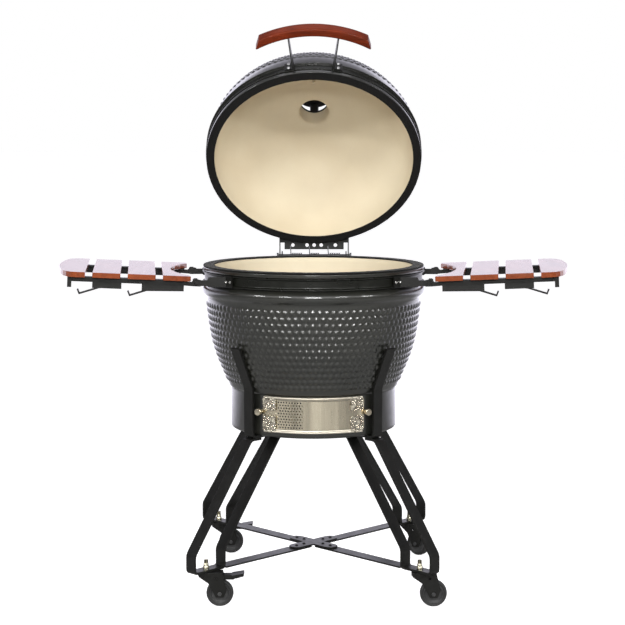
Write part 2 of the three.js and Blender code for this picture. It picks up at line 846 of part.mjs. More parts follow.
// A cheek plate at x, as an outline in (y, z): a foot at the band, then a round eye at the
// pivot between two angles.
function cheek(x, foot, eyeFrom, eyeTo) {
  const { y, z, rodRadius, eyeRadius } = HINGE;
  const eye = new THREE.EllipseCurve(y, z, eyeRadius, eyeRadius, eyeFrom, eyeTo);
  const outline = [...foot, ...eye.getPoints(8).map((point) => [point.x, point.y])];
  const holes = [roundHole(y, z, rodRadius + 0.4)];
  return solidOf(moved(sideways(plate(outline, 3, holes)), x, 0, 0));
}

function hingeBaseBracket() {
  const plateBody = arcSector(BAND_RADIUS + GAP, BAND_RADIUS + 4, 162, 198, 762, 787, 8);
  const foot = [
    [264, 786],
    [264, 765],
  ];
  const seat = post(BAND_RADIUS + 2 * GAP, 700, 850, 0, 0, 60);
  const cheeks = [-85.5, 85.5].map((x) => cut(cheek(x, foot, -Math.PI * 0.35, Math.PI * 0.6), seat));
  return named("hinge_base_bracket", join(plateBody, ...cheeks), "black_steel");
}

function hingeRod() {
  const half = 96;
  const rod = crossRod(HINGE.rodRadius, -half, half, HINGE.y, HINGE.z, 14);
  const head = crossRod(8, half - 1, half + 4, HINGE.y, HINGE.z, 6);
  const nut = crossRod(8, -half - 4, -half + 1, HINGE.y, HINGE.z, 6);
  return named("hinge_rod", join(rod, head, nut), "spring_steel");
}

// A sloping plate from the lid's band to the pivot, with a curved foot and a cheek at each end.
function lidHingePlate() {
  const foot = arcSector(BAND_RADIUS + GAP, BAND_RADIUS + 4, 160.7, 199.3, LID_Z + 17, LID_Z + 43, 10);
  const line = [
    [258, 848.5],
    [305, 811.5],
  ];
  const slope = solidOf(sideways(plate(stripOutline(line, 3), 184)));
  const squareToSlope = Math.atan2(47, 37);
  const holes = [-57, -19, 0, 19, 57].map((x) =>
    solidOf(
      new THREE.CylinderGeometry(4.8, 4.8, 30, 14)
        .rotateX(squareToSlope)
        .translate(x, 296, 818.5),
    ),
  );
  const slopeAngle = -Math.atan2(37, 47) * THREE.MathUtils.RAD2DEG;
  const notches = [-84.7, 84.7].map((x) =>
    box(10.6, 40, 12, x, 0, 0).rotate([slopeAngle, 0, 0]).translate([0, 306.6, 810.3]),
  );
  const footOutline = [
    [300, 817],
    [266, 845],
    [262, 836],
    [296, 806],
  ];
  const eyeAngles = [-Math.PI * 0.8, Math.PI * 0.55];
  const seat = post(BAND_RADIUS + 2 * GAP, 700, 900, 0, 0, 60);
  const cheeks = [-91.5, 91.5].map((x) => cut(cheek(x, footOutline, ...eyeAngles), seat));
  return named("lid_hinge_plate", join(foot, cut(slope, seat, ...holes, ...notches), ...cheeks), "black_steel");
}

// The centre line of one wire wound into coils round the hinge's rod. Each coil is
// [from x, to x, turns]. The wire starts with a leg that bears on the lid's plate at the
// lean angle, and runs straight from each coil to the next.
function springLine(coils, lean) {
  const { radius, stepsPerTurn } = SPRING;
  const at = (x, angle, r = radius) =>
    new THREE.Vector3(x, HINGE.y + r * Math.cos(angle), HINGE.z + r * Math.sin(angle));
  const start = coils[0][0];
  const points = [at(start - 1, lean + 0.22, 26), at(start - 0.5, lean + 0.45, 13)];
  for (const [from, to, turns] of coils) {
    const steps = turns * stepsPerTurn;
    for (let i = 0; i <= steps; i++) {
      const angle = lean + 0.7 + (2 * Math.PI * i) / stepsPerTurn;
      points.push(at(from + ((to - from) * i) / steps, angle));
    }
  }
  return new THREE.CatmullRomCurve3(points, false, "centripetal");
}

function hingeSpring() {
  const coils = [
    [-62, -34, 5],
    [-8, 15, 4],
    [44, 72, 5],
  ];
  const plateLean = 130;
  const curve = springLine(coils, degrees(plateLean));
  return named("hinge_spring", wire(curve, SPRING.wireRadius, 94, 4), "spring_steel");
}

// ---- Assembly ----
const onBowlAxis = new THREE.Group();
onBowlAxis.position.y = BOWL_AXIS_Y;
const pieces = [
  baseBowl(),
  baseGasket(),
  baseBand(),
  fireBox(),
  fireRing(),
  charcoalGrate(),
  cookingGrate(),
  draftFrame(),
  draftScreen(),
  draftDoor(),
  cradle(),
  braceHub(),
  hingeBaseBracket(),
  hingeRod(),
];
onBowlAxis.add(...pieces);

for (const corner of Object.keys(CORNERS)) {
  onBowlAxis.add(leg(corner), brace(corner), casterGroup(corner));
}
onBowlAxis.add(tableGroup("left"), tableGroup("right"));

const lidPivot = new THREE.Group();
lidPivot.position.set(0, HINGE.y, HINGE.z);
lidPivot.rotation.x = degrees(-LID_OPEN);
const lid = new THREE.Group();
lid.position.set(0, -HINGE.y, -HINGE.z);
lid.add(lidDome(), lidGasket(), lidBand(), ventBase(), ventCap(), thermometer());
lid.add(handleGrip(), handlePost(-1), handlePost(1), lidHingePlate(), hingeSpring());
lidPivot.add(lid);
onBowlAxis.add(lidPivot);

const grill = new THREE.Group();
grill.add(onBowlAxis);

export default grill;
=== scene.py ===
"""Looks of a kamado ceramic grill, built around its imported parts.

The frame is in metres, +Z up, and the front of the grill faces -Y. New pieces are laid out in
millimetres in a local frame (the bowl's axis, the closed lid, a caster, the thermometer) and
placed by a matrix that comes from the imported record.
"""

import json
import math
import random

import bmesh
import bpy
from mathutils import Matrix, Vector


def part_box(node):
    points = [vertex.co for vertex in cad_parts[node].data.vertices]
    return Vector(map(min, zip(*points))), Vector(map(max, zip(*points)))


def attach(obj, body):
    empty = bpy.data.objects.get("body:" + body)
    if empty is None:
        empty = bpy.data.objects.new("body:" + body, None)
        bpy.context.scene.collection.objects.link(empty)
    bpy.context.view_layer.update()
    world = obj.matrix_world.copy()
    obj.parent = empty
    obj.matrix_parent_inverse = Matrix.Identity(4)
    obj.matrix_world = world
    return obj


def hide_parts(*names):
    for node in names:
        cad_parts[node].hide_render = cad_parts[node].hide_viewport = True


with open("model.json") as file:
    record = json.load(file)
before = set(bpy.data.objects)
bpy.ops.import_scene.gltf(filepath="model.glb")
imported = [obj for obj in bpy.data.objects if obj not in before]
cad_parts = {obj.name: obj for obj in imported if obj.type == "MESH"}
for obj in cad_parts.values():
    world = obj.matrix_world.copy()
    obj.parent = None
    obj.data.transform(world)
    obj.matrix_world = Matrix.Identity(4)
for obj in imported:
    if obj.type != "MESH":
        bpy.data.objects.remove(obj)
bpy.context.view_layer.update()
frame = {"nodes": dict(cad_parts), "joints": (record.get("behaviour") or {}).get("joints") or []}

MM = 0.001
JOINTS = {joint["name"]: joint for joint in frame["joints"]}
CORNERS = ("front_left", "front_right", "rear_right", "rear_left")
BRAKED = ("front_left", "rear_left")
SIDES = ("left", "right")
ENDS = ("front", "rear")

# ---- Places from the frame ----


def joint_place(name):
    return Vector(JOINTS[name]["pos_m"])


def joint_axis(name):
    return Vector(JOINTS[name]["axis"]).normalized()


def place_from_axes(origin, x_axis, y_axis, z_axis):
    turn = Matrix((x_axis, y_axis, z_axis)).transposed().to_4x4()
    return Matrix.Translation(origin) @ turn


bowl_low, bowl_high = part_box("base_bowl")
AXIS = Vector(((bowl_low.x + bowl_high.x) / 2, (bowl_low.y + bowl_high.y) / 2, 0))
BOWL = Matrix.Translation(AXIS)
OPEN_ANGLE = JOINTS["lid_hinge"]["range_deg"][1]
hinge = joint_place("lid_hinge")
LID = (
    Matrix.Translation(hinge)
    @ Matrix.Rotation(-math.radians(OPEN_ANGLE), 4, "X")
    @ Matrix.Translation(-hinge)
    @ BOWL
)
HINGE_Y = (hinge.y - AXIS.y) / MM
HINGE_Z = hinge.z / MM
# Where a piece is laid out, and the body it rides on.
ON_BOWL = (BOWL, "bowl_and_stand")
ON_LID = (LID, "lid")
ON_STAND = (Matrix.Scale(1, 4), "bowl_and_stand")


def on_caster(corner):
    """Laid out from the floor under the stem, with x towards the wheel's trail."""
    stem = joint_place(f"caster_{corner}_swivel")
    trail = joint_place(f"wheel_{corner}_roll") - stem
    trail = Vector((trail.x, trail.y, 0)).normalized()
    up = Vector((0, 0, 1))
    place = place_from_axes(Vector((stem.x, stem.y, 0)), trail, up.cross(trail), up)
    return place, f"caster_{corner}"


def on_thermometer():
    """Laid out from where the dial's axis meets the lid's skin, with z out of the case."""
    out = -joint_axis("thermometer_pointer_turn")
    side = Vector((1, 0, 0))
    origin = joint_place("thermometer_pointer_turn")
    return place_from_axes(origin, side, out.cross(side), out), "lid"


# ---- Outlines ----


def rounded(points, radius, steps=4, closed=True):
    """Each corner becomes a short arc; a third number on a point is that corner's own radius."""
    count = len(points)
    made = []
    for i, point in enumerate(points):
        here = Vector(point[:2])
        reach = point[2] if len(point) > 2 else radius
        if reach <= 0 or (not closed and i in (0, count - 1)):
            made.append(here)
            continue
        before = Vector(points[i - 1][:2]) - here
        after = Vector(points[(i + 1) % count][:2]) - here
        reach = min(reach, before.length * 0.49, after.length * 0.49)
        start = here + before.normalized() * reach
        end = here + after.normalized() * reach
        for k in range(steps + 1):
            t = k / steps
            made.append(start * (1 - t) ** 2 + here * 2 * t * (1 - t) + end * t**2)
    return made


def open_outline(points, radius, steps=4):
    """Rounded corners on an outline that starts and ends on the axis, or goes on in another."""
    return rounded(points, radius, steps, closed=False)


def subdivided(points, step, closed=True):
    """The same outline with a point at least every step."""
    made = []
    count = len(points)
    for i in range(count if closed else count - 1):
        a, b = points[i], points[(i + 1) % count]
        pieces = max(1, math.ceil((b - a).length / step))
        made += [a.lerp(b, k / pieces) for k in range(pieces)]
    if not closed:
        made.append(points[-1])
    return made


def superellipse(radius, depth, power, from_height, to_radius, steps):
    start = math.asin((from_height / depth) ** (power / 2))
    end = math.acos((to_radius / radius) ** (power / 2))
    angles = [start + (end - start) * i / steps for i in range(steps + 1)]
    return [
        Vector((radius * math.cos(a) ** (2 / power), depth * math.sin(a) ** (2 / power)))
        for a in angles
    ]


# ---- Meshes ----


def make_piece(name, parts, home, materials, stands_for=None, face_slots=None, sharp=35):
    """One mesh of several (verts, faces); home is (place, body), stands_for a CAD node."""
    place, body = home
    verts, faces = merged(parts)
    mesh = bpy.data.meshes.new(name)
    mesh.from_pydata([tuple(v) for v in verts], [], faces)
    for one in materials:
        mesh.materials.append(one)
    if face_slots is not None:
        mesh.polygons.foreach_set("material_index", face_slots)
    tidy_mesh(mesh)
    mesh.transform(place @ Matrix.Scale(MM, 4))
    mesh.shade_smooth()
    mesh.set_sharp_from_angle(angle=math.radians(sharp))
    piece = bpy.data.objects.new(name, mesh)
    bpy.context.scene.collection.objects.link(piece)
    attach(piece, body)
    if stands_for:
        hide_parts(stands_for)


def tidy_mesh(mesh):
    """Joins shared points, drops what has no area and turns every face outwards."""
    work = bmesh.new()
    work.from_mesh(mesh)
    bmesh.ops.remove_doubles(work, verts=work.verts, dist=1e-4)
    bmesh.ops.dissolve_degenerate(work, edges=work.edges, dist=1e-5)
    bmesh.ops.recalc_face_normals(work, faces=work.faces)
    work.to_mesh(mesh)
    work.free()


def round_point(radius, azimuth, height):
    """Azimuth 0 is the front (-Y) and grows towards +X, in radians."""
    return (radius * math.sin(azimuth), -radius * math.cos(azimuth), height)


def lathe(profile, columns, relief=None, windows=()):
    """Points and faces of a profile (radius, height) turned about Z.

    The profile closes on itself. relief(column angle, row) lifts a point along the profile's
    normal. A window (outer rows, inner rows, columns), each a (from, to) pair, is left open
    through the wall."""
    rows = len(profile)
    normals = []
    for i in range(rows):
        along = profile[(i + 1) % rows] - profile[i - 1]
        normals.append(Vector((along.y, -along.x)).normalized())
    verts = []
    for c in range(columns):
        azimuth = 2 * math.pi * c / columns
        for i, point in enumerate(profile):
            lift = relief(azimuth, i) if relief else 0
            verts.append(
                round_point(point.x + normals[i].x * lift, azimuth, point.y + normals[i].y * lift)
            )

    def at(column, row):
        return (column % columns) * rows + row % rows

    def is_open(column, row):
        for outer, inner, (first, last) in windows:
            inside = (column - first) % columns < (last - first)
            if inside and (outer[0] <= row < outer[1] or inner[0] <= row < inner[1]):
                return True
        return False

    faces = []
    for c in range(columns):
        for i in range(rows):
            if not is_open(c, i):
                faces.append((at(c, i), at(c + 1, i), at(c + 1, i + 1), at(c, i + 1)))
    for outer, inner, (first, last) in windows:
        for c in range(first, last):
            for a, b in ((outer[0], inner[1]), (outer[1], inner[0])):
                faces.append((at(c, a), at(c + 1, a), at(c + 1, b), at(c, b)))
        for c in (first, last):
            faces += window_jamb(at, c, outer, inner)
    return verts, faces


def window_jamb(at, column, outer, inner):
    """The side of a window: a strip of quads between the outer and the inner skin."""
    outer_count = outer[1] - outer[0]
    inner_count = inner[1] - inner[0]
    faces = []
    steps = max(outer_count, inner_count)
    for k in range(steps):
        a = [at(column, outer[0] + round(outer_count * j / steps)) for j in (k, k + 1)]
        b = [at(column, inner[1] - round(inner_count * j / steps)) for j in (k, k + 1)]
        face = []
        for corner in (a[0], a[1], b[1], b[0]):
            if corner not in face:
                face.append(corner)
        if len(face) > 2:
            faces.append(tuple(face))
    return faces


def turned_piece(name, outline, home, material, stands_for, columns=96):
    make_piece(name, [lathe(outline, columns)], home, [material], stands_for)


def swept(section, centres, sides, ups):
    """A closed section (a, b) carried along points; a runs along side and b along up."""
    verts = []
    for centre, side, up in zip(centres, sides, ups):
        verts += [centre + side * a + up * b for a, b in section]
    count = len(section)
    faces = []
    for k in range(len(centres) - 1):
        for i in range(count):
            j = (i + 1) % count
            faces.append((k * count + i, k * count + j, (k + 1) * count + j, (k + 1) * count + i))
    faces.append(tuple(range(count)))
    faces.append(tuple(range((len(centres) - 1) * count, len(centres) * count)))
    return verts, faces


def polygon(radius, sides):
    turns = [2 * math.pi * k / sides for k in range(sides)]
    return [(radius * math.cos(turn), radius * math.sin(turn)) for turn in turns]


def tube(path, radius, sides):
    """A round wire along points, its ends closed."""
    last = len(path) - 1
    tangents = []
    for i in range(len(path)):
        tangents.append((path[min(i + 1, last)] - path[max(i - 1, 0)]).normalized())
    side = tangents[0].orthogonal().normalized()
    side_list, up_list = [], []
    for tangent in tangents:
        side = (side - tangent * side.dot(tangent)).normalized()
        side_list.append(side)
        up_list.append(tangent.cross(side))
    return swept(polygon(radius, sides), path, side_list, up_list)


def straight(start, end, steps=8):
    """Points along a straight rod."""
    return [Vector(start).lerp(Vector(end), k / steps) for k in range(steps + 1)]


def merged(parts):
    """Several (verts, faces) as one."""
    verts, faces = [], []
    for part_verts, part_faces in parts:
        start = len(verts)
        verts += [Vector(v) for v in part_verts]
        faces += [tuple(index + start for index in face) for face in part_faces]
    return verts, faces


def moved(part, matrix):
    verts, faces = part
    return [matrix @ Vector(v) for v in verts], faces


# ---- Fasteners ----


def dome_screw(radius, height):
    """A button head with a hexagon socket, its seat on z = 0."""
    socket = radius * 0.45
    floor = height * 0.4
    outline = open_outline(
        [(0, -0.3), (radius, -0.3), (radius, height * 0.35, 1), (socket * 1.25, height),
         (socket, height), (socket, floor), (0, floor)],
        0.25 * height,
        steps=3,
    )
    return lathe(subdivided(outline, 3, closed=False), 18)


def hex_bolt(across, height):
    """A chamfered hexagon head, its seat on z = 0."""
    levels = ((0, 1), (height * 0.8, 1), (height, 0.84))
    centres = [Vector((0, 0, z)) for z, _ in levels]
    sides = [Vector((scale, 0, 0)) for _, scale in levels]
    ups = [Vector((0, scale, 0)) for _, scale in levels]
    return swept(polygon(across / math.sqrt(3), 6), centres, sides, ups)


def thread_outline(radius, low, high, pitch):
    """A threaded end as an outline: a fine saw edge from low to high."""
    points = [Vector((0, low)), Vector((radius - 0.5, low))]
    height = low
    while height + pitch < high - 1:
        points += [Vector((radius, height + pitch / 2)), Vector((radius - 0.6, height + pitch))]
        height += pitch
    points += [Vector((radius - 0.8, high - 0.6)), Vector((radius - 1.6, high)), Vector((0, high))]
    return points


def along(axis):
    """A turn that takes +Z to the given direction."""
    return Vector((0, 0, 1)).rotation_difference(Vector(axis)).to_matrix().to_4x4()


def fastener(part, x, y, z, axis=(0, 0, 1)):
    return moved(part, Matrix.Translation((x, y, z)) @ along(axis))


# ---- Materials ----


def put(tree, socket, value):
    """Links an output to an input, or sets the input's own value."""
    if isinstance(value, bpy.types.NodeSocket):
        tree.links.new(value, socket)
    else:
        socket.default_value = value


def add_node(tree, kind, **inputs):
    node = tree.nodes.new("ShaderNode" + kind)
    for key, value in inputs.items():
        put(tree, node.inputs[key.replace("_", " ")], value)
    return node


def map_range(tree, source, low, high, from_low, from_high):
    """The source rescaled, and held at both ends."""
    ends = {"From_Min": from_low, "From_Max": from_high, "To_Min": low, "To_Max": high}
    return add_node(tree, "MapRange", Value=source, **ends).outputs["Result"]


class Finish:
    """One procedural material: a Principled surface and the textures that drive it."""

    def __init__(self, name, metallic=0.0, **settings):
        self.material = bpy.data.materials.new(name)
        self.material.use_nodes = True
        self.tree = self.material.node_tree
        self.surface = self.tree.nodes["Principled BSDF"].inputs
        self.surface["Metallic"].default_value = metallic
        for key, value in settings.items():
            self.surface[key.replace("_", " ")].default_value = value
        self.place = add_node(self.tree, "TexCoord").outputs["Object"]

    def stretched(self, scale):
        return add_node(self.tree, "Mapping", Scale=scale, Vector=self.place).outputs["Vector"]

    def noise(self, scale, detail=3.0, stretch=(1, 1, 1), warp=0.0, rough=0.5):
        look = {"Scale": scale, "Detail": detail, "Distortion": warp, "Roughness": rough}
        return add_node(self.tree, "TexNoise", Vector=self.stretched(stretch), **look).outputs["Fac"]

    def cells(self, scale):
        vector = self.stretched((1, 1, 1))
        return add_node(self.tree, "TexVoronoi", Scale=scale, Vector=vector).outputs["Distance"]

    def span(self, source, low, high, from_low=0.3, from_high=0.7):
        return map_range(self.tree, source, low, high, from_low, from_high)

    def mixed(self, factor, first, second):
        node = self.tree.nodes.new("ShaderNodeMix")
        node.data_type = "RGBA"
        put(self.tree, node.inputs[0], factor)
        for socket, colour in ((node.inputs[6], first), (node.inputs[7], second)):
            put(self.tree, socket, (*colour, 1) if isinstance(colour, tuple) else colour)
        return node.outputs[2]

    def toned(self, source, first, second, amount=1, from_low=0.3, from_high=0.7):
        """The first colour, going to the second by up to an amount where the source is high."""
        return self.mixed(self.span(source, 0, amount, from_low, from_high), first, second)

    def bumped(self, *layers):
        """Each layer is (height, strength, depth in metres)."""
        normal = None
        for height, strength, depth in layers:
            node = add_node(self.tree, "Bump", Strength=strength, Distance=depth, Height=height)
            if normal:
                put(self.tree, node.inputs["Normal"], normal)
            normal = node.outputs["Normal"]
        put(self.tree, self.surface["Normal"], normal)

    def done(self, colour, roughness):
        if isinstance(colour, tuple):
            colour = (*colour, 1)
        put(self.tree, self.surface["Base Color"], colour)
        put(self.tree, self.surface["Roughness"], roughness)
        return self.material


def glaze_finish():
    finish = Finish("glaze", Coat_Weight=1.0, Coat_Roughness=0.05, IOR=1.5)
    clouds = finish.noise(9, 4)
    specks = finish.noise(900, 2)
    base = finish.toned(clouds, (0.010, 0.011, 0.009), (0.017, 0.017, 0.013))
    base = finish.toned(specks, base, (0.035, 0.034, 0.028), 0.5, 0.60, 0.75)
    finish.bumped((finish.noise(110, 2), 0.10, 0.0010), (specks, 0.06, 0.0003))
    return finish.done(base, finish.span(finish.noise(45, 3), 0.30, 0.42))


def cream_finish():
    """The unglazed inside: a warm buff body with a fine sandy skin."""
    finish = Finish("cream_ceramic")
    clouds = finish.noise(7, 5)
    sand = finish.noise(700, 3)
    base = finish.toned(clouds, (0.70, 0.61, 0.445), (0.77, 0.69, 0.52))
    base = finish.toned(sand, base, (0.50, 0.38, 0.22), 0.35, 0.62, 0.8)
    finish.bumped((finish.noise(60, 3), 0.15, 0.001), (sand, 0.25, 0.0003))
    return finish.done(base, finish.span(clouds, 0.55, 0.72))


def fireclay_finish():
    finish = Finish("fireclay")
    clouds = finish.noise(12, 5)
    grit = finish.noise(420, 4)
    base = finish.toned(clouds, (0.62, 0.50, 0.33), (0.76, 0.65, 0.47))
    base = finish.toned(grit, base, (0.36, 0.26, 0.15), 0.6, 0.6, 0.8)
    finish.bumped((grit, 0.45, 0.0006), (finish.noise(70, 3), 0.3, 0.0015))
    return finish.done(base, 0.88)


def felt_finish():
    finish = Finish("felt", Specular_IOR_Level=0.15, Sheen_Weight=0.08, Sheen_Roughness=0.5)
    hair = finish.noise(1400, 4, warp=2.0)
    base = finish.toned(hair, (0.003, 0.003, 0.003), (0.010, 0.0095, 0.009))
    finish.bumped((hair, 0.7, 0.0008), (finish.cells(500), 0.3, 0.0006))
    return finish.done(base, 0.95)


def coated_steel_finish(name, colour, rough_low, rough_high, grain=1100):
    """Powder-coated steel: a fine orange peel with a few rubbed, greyer patches."""
    finish = Finish(name, IOR=1.5, Specular_IOR_Level=0.3, Coat_Weight=0.12, Coat_Roughness=0.2)
    peel = finish.noise(grain, 2)
    rubbed = finish.noise(38, 6, rough=0.65)
    lighter = tuple(channel * 1.6 + 0.004 for channel in colour)
    base = finish.toned(rubbed, colour, lighter, 0.6, 0.52, 0.78)
    finish.bumped((peel, 0.22, 0.0004), (finish.noise(160, 2), 0.08, 0.0006))
    return finish.done(base, finish.span(rubbed, rough_low, rough_high))


def brushed_finish(name, colour, stretch, rough_low=0.18, rough_high=0.36, bands=None):
    finish = Finish(name, metallic=1.0)
    lines = finish.noise(60, 5, stretch=stretch, rough=0.7)
    stains_and_sheen_bands = finish.noise(16, 2, stretch=bands or (1, 1, 1))
    darker = tuple(channel * 0.72 for channel in colour)
    base = finish.toned(lines, colour, darker, 0.6)
    # With bands, the noise is stretched into vertical bands that darken the colour by half between them.
    # These are painted sheen and shade bands that stand in for reflections on the brushed sheet. Without
    # bands, the noise gives a few darker stains.
    if bands:
        shadow = tuple(channel * 0.5 for channel in colour)
        base = finish.toned(stains_and_sheen_bands, base, shadow, 0.8, 0.46, 0.62)
    else:
        base = finish.toned(stains_and_sheen_bands, base, darker, 0.35, 0.5, 0.8)
    finish.bumped((lines, 0.04, 0.0002))
    return finish.done(base, finish.span(lines, rough_low, rough_high))


def crumpled_finish():
    """Bright pressed steel whose skin is dented all over, its colour painted darker in the dents' hollows
    and brighter on their crests as shade and reflection.
    """
    finish = Finish("dented_steel", metallic=1.0)
    dents_and_painted_shade = finish.noise(150, 3, warp=1.2)
    # Painted shade in the hollows of the dents and painted highlight on their crests.
    base = finish.toned(dents_and_painted_shade, (0.40, 0.36, 0.28), (0.76, 0.71, 0.60))
    finish.bumped((dents_and_painted_shade, 1.0, 0.006), (finish.noise(420, 3), 0.35, 0.0008))
    return finish.done(base, finish.span(finish.noise(60, 2), 0.12, 0.34))


def cast_iron_finish():
    finish = Finish("cast_iron", metallic=0.25)
    grain = finish.noise(520, 5)
    patches = finish.noise(30, 4)
    base = finish.toned(patches, (0.012, 0.012, 0.012), (0.035, 0.033, 0.031))
    finish.bumped((grain, 0.55, 0.0006))
    return finish.done(base, finish.span(grain, 0.5, 0.75))


def wood_finish(name, grain_axis, coat, light, dark):
    """Oiled reddish hardwood with its grain along one axis of the frame."""
    finish = Finish(name, Specular_IOR_Level=0.1, Coat_Weight=coat, Coat_Roughness=0.16, Coat_IOR=1.5)
    stretch = [1.0, 1.0, 1.0]
    stretch[grain_axis] = 0.07
    rings = finish.noise(70, 6, stretch=stretch, warp=0.8, rough=0.6)
    pores_stretch = [1.0, 1.0, 1.0]
    pores_stretch[grain_axis] = 0.03
    pores = finish.noise(900, 3, stretch=pores_stretch)
    boards = finish.noise(11, 2)
    lighter = tuple(channel * 1.5 for channel in light)
    pore_dark = tuple(channel * 0.35 for channel in dark)
    base = finish.toned(rings, light, dark, 1, 0.35, 0.68)
    base = finish.toned(boards, base, lighter, 0.45)
    base = finish.toned(pores, base, pore_dark, 0.75, 0.56, 0.72)
    finish.bumped((rings, 0.05, 0.0004), (pores, 0.08, 0.0002))
    return finish.done(base, finish.span(rings, 0.40, 0.58))


def rubber_finish(name, colour, roughness):
    finish = Finish(name)
    grain = finish.noise(800, 3)
    dust = finish.noise(60, 5)
    dusty = tuple(channel * 2.2 + 0.01 for channel in colour)
    base = finish.toned(dust, colour, dusty, 0.7, 0.5, 0.8)
    finish.bumped((grain, 0.2, 0.0003))
    return finish.done(base, finish.span(dust, roughness, roughness + 0.12))


def dial_finish():
    finish = Finish("dial_face")
    fibre = finish.noise(300, 3)
    base = finish.toned(fibre, (0.86, 0.86, 0.83), (0.80, 0.80, 0.76))
    finish.bumped((fibre, 0.05, 0.0002))
    return finish.done(base, 0.5)


def ink_finish(name, colour):
    finish = Finish(name)
    fibre = finish.noise(500, 3)
    base = finish.mixed(finish.span(fibre, 0, 1), colour, tuple(c * 1.3 + 0.005 for c in colour))
    finish.bumped((fibre, 0.05, 0.0001))
    return finish.done(base, 0.45)


def glass_finish():
    finish = Finish("lens_glass", Transmission_Weight=1.0, IOR=1.46)
    smears = finish.noise(90, 3)
    return finish.done((0.97, 0.98, 0.97), finish.span(smears, 0.01, 0.05))


EVEN_GRAIN = (3, 3, 3)
GLAZE = glaze_finish()
CREAM = cream_finish()
FIRECLAY = fireclay_finish()
FELT = felt_finish()
BLACK_STEEL = coated_steel_finish("black_powder_coat", (0.007, 0.007, 0.006), 0.34, 0.50)
BAND_STEEL = coated_steel_finish("black_band_coat", (0.007, 0.0075, 0.0055), 0.24, 0.38, grain=700)
# Its stretched bands paint vertical bands of sheen and shade into the brushed sheets.
STAINLESS = brushed_finish(
    "stainless_brushed", (0.92, 0.83, 0.64), (12, 12, 0.4), 0.17, 0.30, bands=(1.3, 1.3, 0.02)
)
BRIGHT_STEEL = brushed_finish("bright_steel", (0.74, 0.69, 0.58), (0.5, 0.5, 3), 0.38, 0.46)
DENTED_STEEL = crumpled_finish()
WIRE_STEEL = brushed_finish("wire_steel", (0.70, 0.66, 0.58), EVEN_GRAIN, 0.25, 0.4)
ZINC = brushed_finish("zinc_plate", (0.50, 0.50, 0.50), EVEN_GRAIN, 0.25, 0.45)
BRASS = brushed_finish("yellow_zinc", (0.72, 0.68, 0.52), EVEN_GRAIN, 0.25, 0.4)
SPRING_STEEL = brushed_finish("spring_wire", (0.16, 0.16, 0.17), EVEN_GRAIN, 0.3, 0.45)
SCREW_STEEL = brushed_finish("screw_steel", (0.74, 0.73, 0.71), EVEN_GRAIN, 0.2, 0.35)
CAST_IRON = cast_iron_finish()
WOOD_ACROSS = wood_finish("wood_slats", 1, 1.0, (0.25, 0.052, 0.012), (0.14, 0.026, 0.007))
WOOD_GRIP = wood_finish("wood_grip", 0, 0.14, (0.18, 0.024, 0.006), (0.075, 0.012, 0.004))
TYRE = rubber_finish("tyre_rubber", (0.022, 0.022, 0.022), 0.62)
HUB = rubber_finish("hub_plastic", (0.040, 0.040, 0.041), 0.42)
DIAL = dial_finish()
DIAL_INK = ink_finish("dial_ink", (0.02, 0.02, 0.02))
NEEDLE_RED = ink_finish("needle_red", (0.45, 0.03, 0.02))
GLASS = glass_finish()

# ---- Driving dimensions, in millimetres and degrees ----


def node_mm(node, axis, end):
    """One face of a node's box, from the bowl's axis and the floor."""
    return (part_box(node)[end][axis] - AXIS[axis]) / MM


X, Y, Z = 0, 1, 2
LOW, HIGH = 0, 1
GAP = 0.3  # between neighbouring pieces

RIM_RADIUS = node_mm("base_gasket", X, HIGH)
RIM_Z = node_mm("base_gasket", Z, HIGH)
GASKET_THICKNESS = RIM_Z - node_mm("base_gasket", Z, LOW)
BASE_MOUTH = 247
BOWL_BOTTOM = node_mm("base_bowl", Z, LOW)
BOWL_FLOOR = 418
FOOT_RADIUS = 207
FOOT_TOP = 499
DRAFT_OPENING = (430, 478)  # heights of its sill and its top
DRAFT_OPENING_HALF = 18.5

BAND_RADIUS = node_mm("base_band", X, HIGH)
BAND_LOW = node_mm("base_band", Z, LOW)
BAND_HIGH = node_mm("base_band", Z, HIGH)
BAND_SEAT = 268

LID_MOUTH = 254
LID_Z = RIM_Z + 1
DOME_OUTER = (235, 2.35)  # depth and roundness of the dome's outside
DOME_INNER = (207, 2.2)
CHIMNEY_RADIUS = 38
CHIMNEY_TOP = LID_Z + 260
THROAT_FLARE = 12
BUMP = {"pitch": 16.2, "row_pitch": 15.9, "radius": 7.2, "height": 3.1}

DRAFT_OUTER = -node_mm("draft_frame", Y, LOW)
DRAFT_INNER = DRAFT_OUTER - 8.6
DRAFT_LOW = node_mm("draft_frame", Z, LOW)
DRAFT_HIGH = node_mm("draft_frame", Z, HIGH)
DRAFT_HALF = math.degrees(math.asin(node_mm("draft_frame", X, HIGH) / DRAFT_OUTER))
WINDOW_HALF = 24.9
SHEET = 1.2

WHEEL = {"radius": 32.5, "trail": 33, "half": 10}
FORK_HALF = 16.1
NUT_LOW, STUD_TOP = 91, 113
BRACKET_SCREWS = (44.9, 47.7)  # azimuths of the two screws of a front bracket
PIVOT_PIN_END = 176.0
HUB_BOLT_REACHES = (34, 60)

GRIP = {"outer": 374, "inner": 352, "bottom": 846, "top": 874, "bow": 290, "half": 138, "rake": 0.86}
POST_FOOT = {"azimuth": 12.6, "thickness": 3.3, "height": 30, "spacing": 8}
SPRING = {"radius": 7.2, "wire": 1.4, "turns": 5, "lean": 130}
SPRING_SPANS = ((-62, -34), (-12, 12), (38, 68))
VENT_COLUMNS = 120
VENT_WINDOW_HALF = 33
THERMOMETER = {"radius": 30, "height": 20, "dial": 12.5, "stem": 41}

# ---- Ceramic shells ----


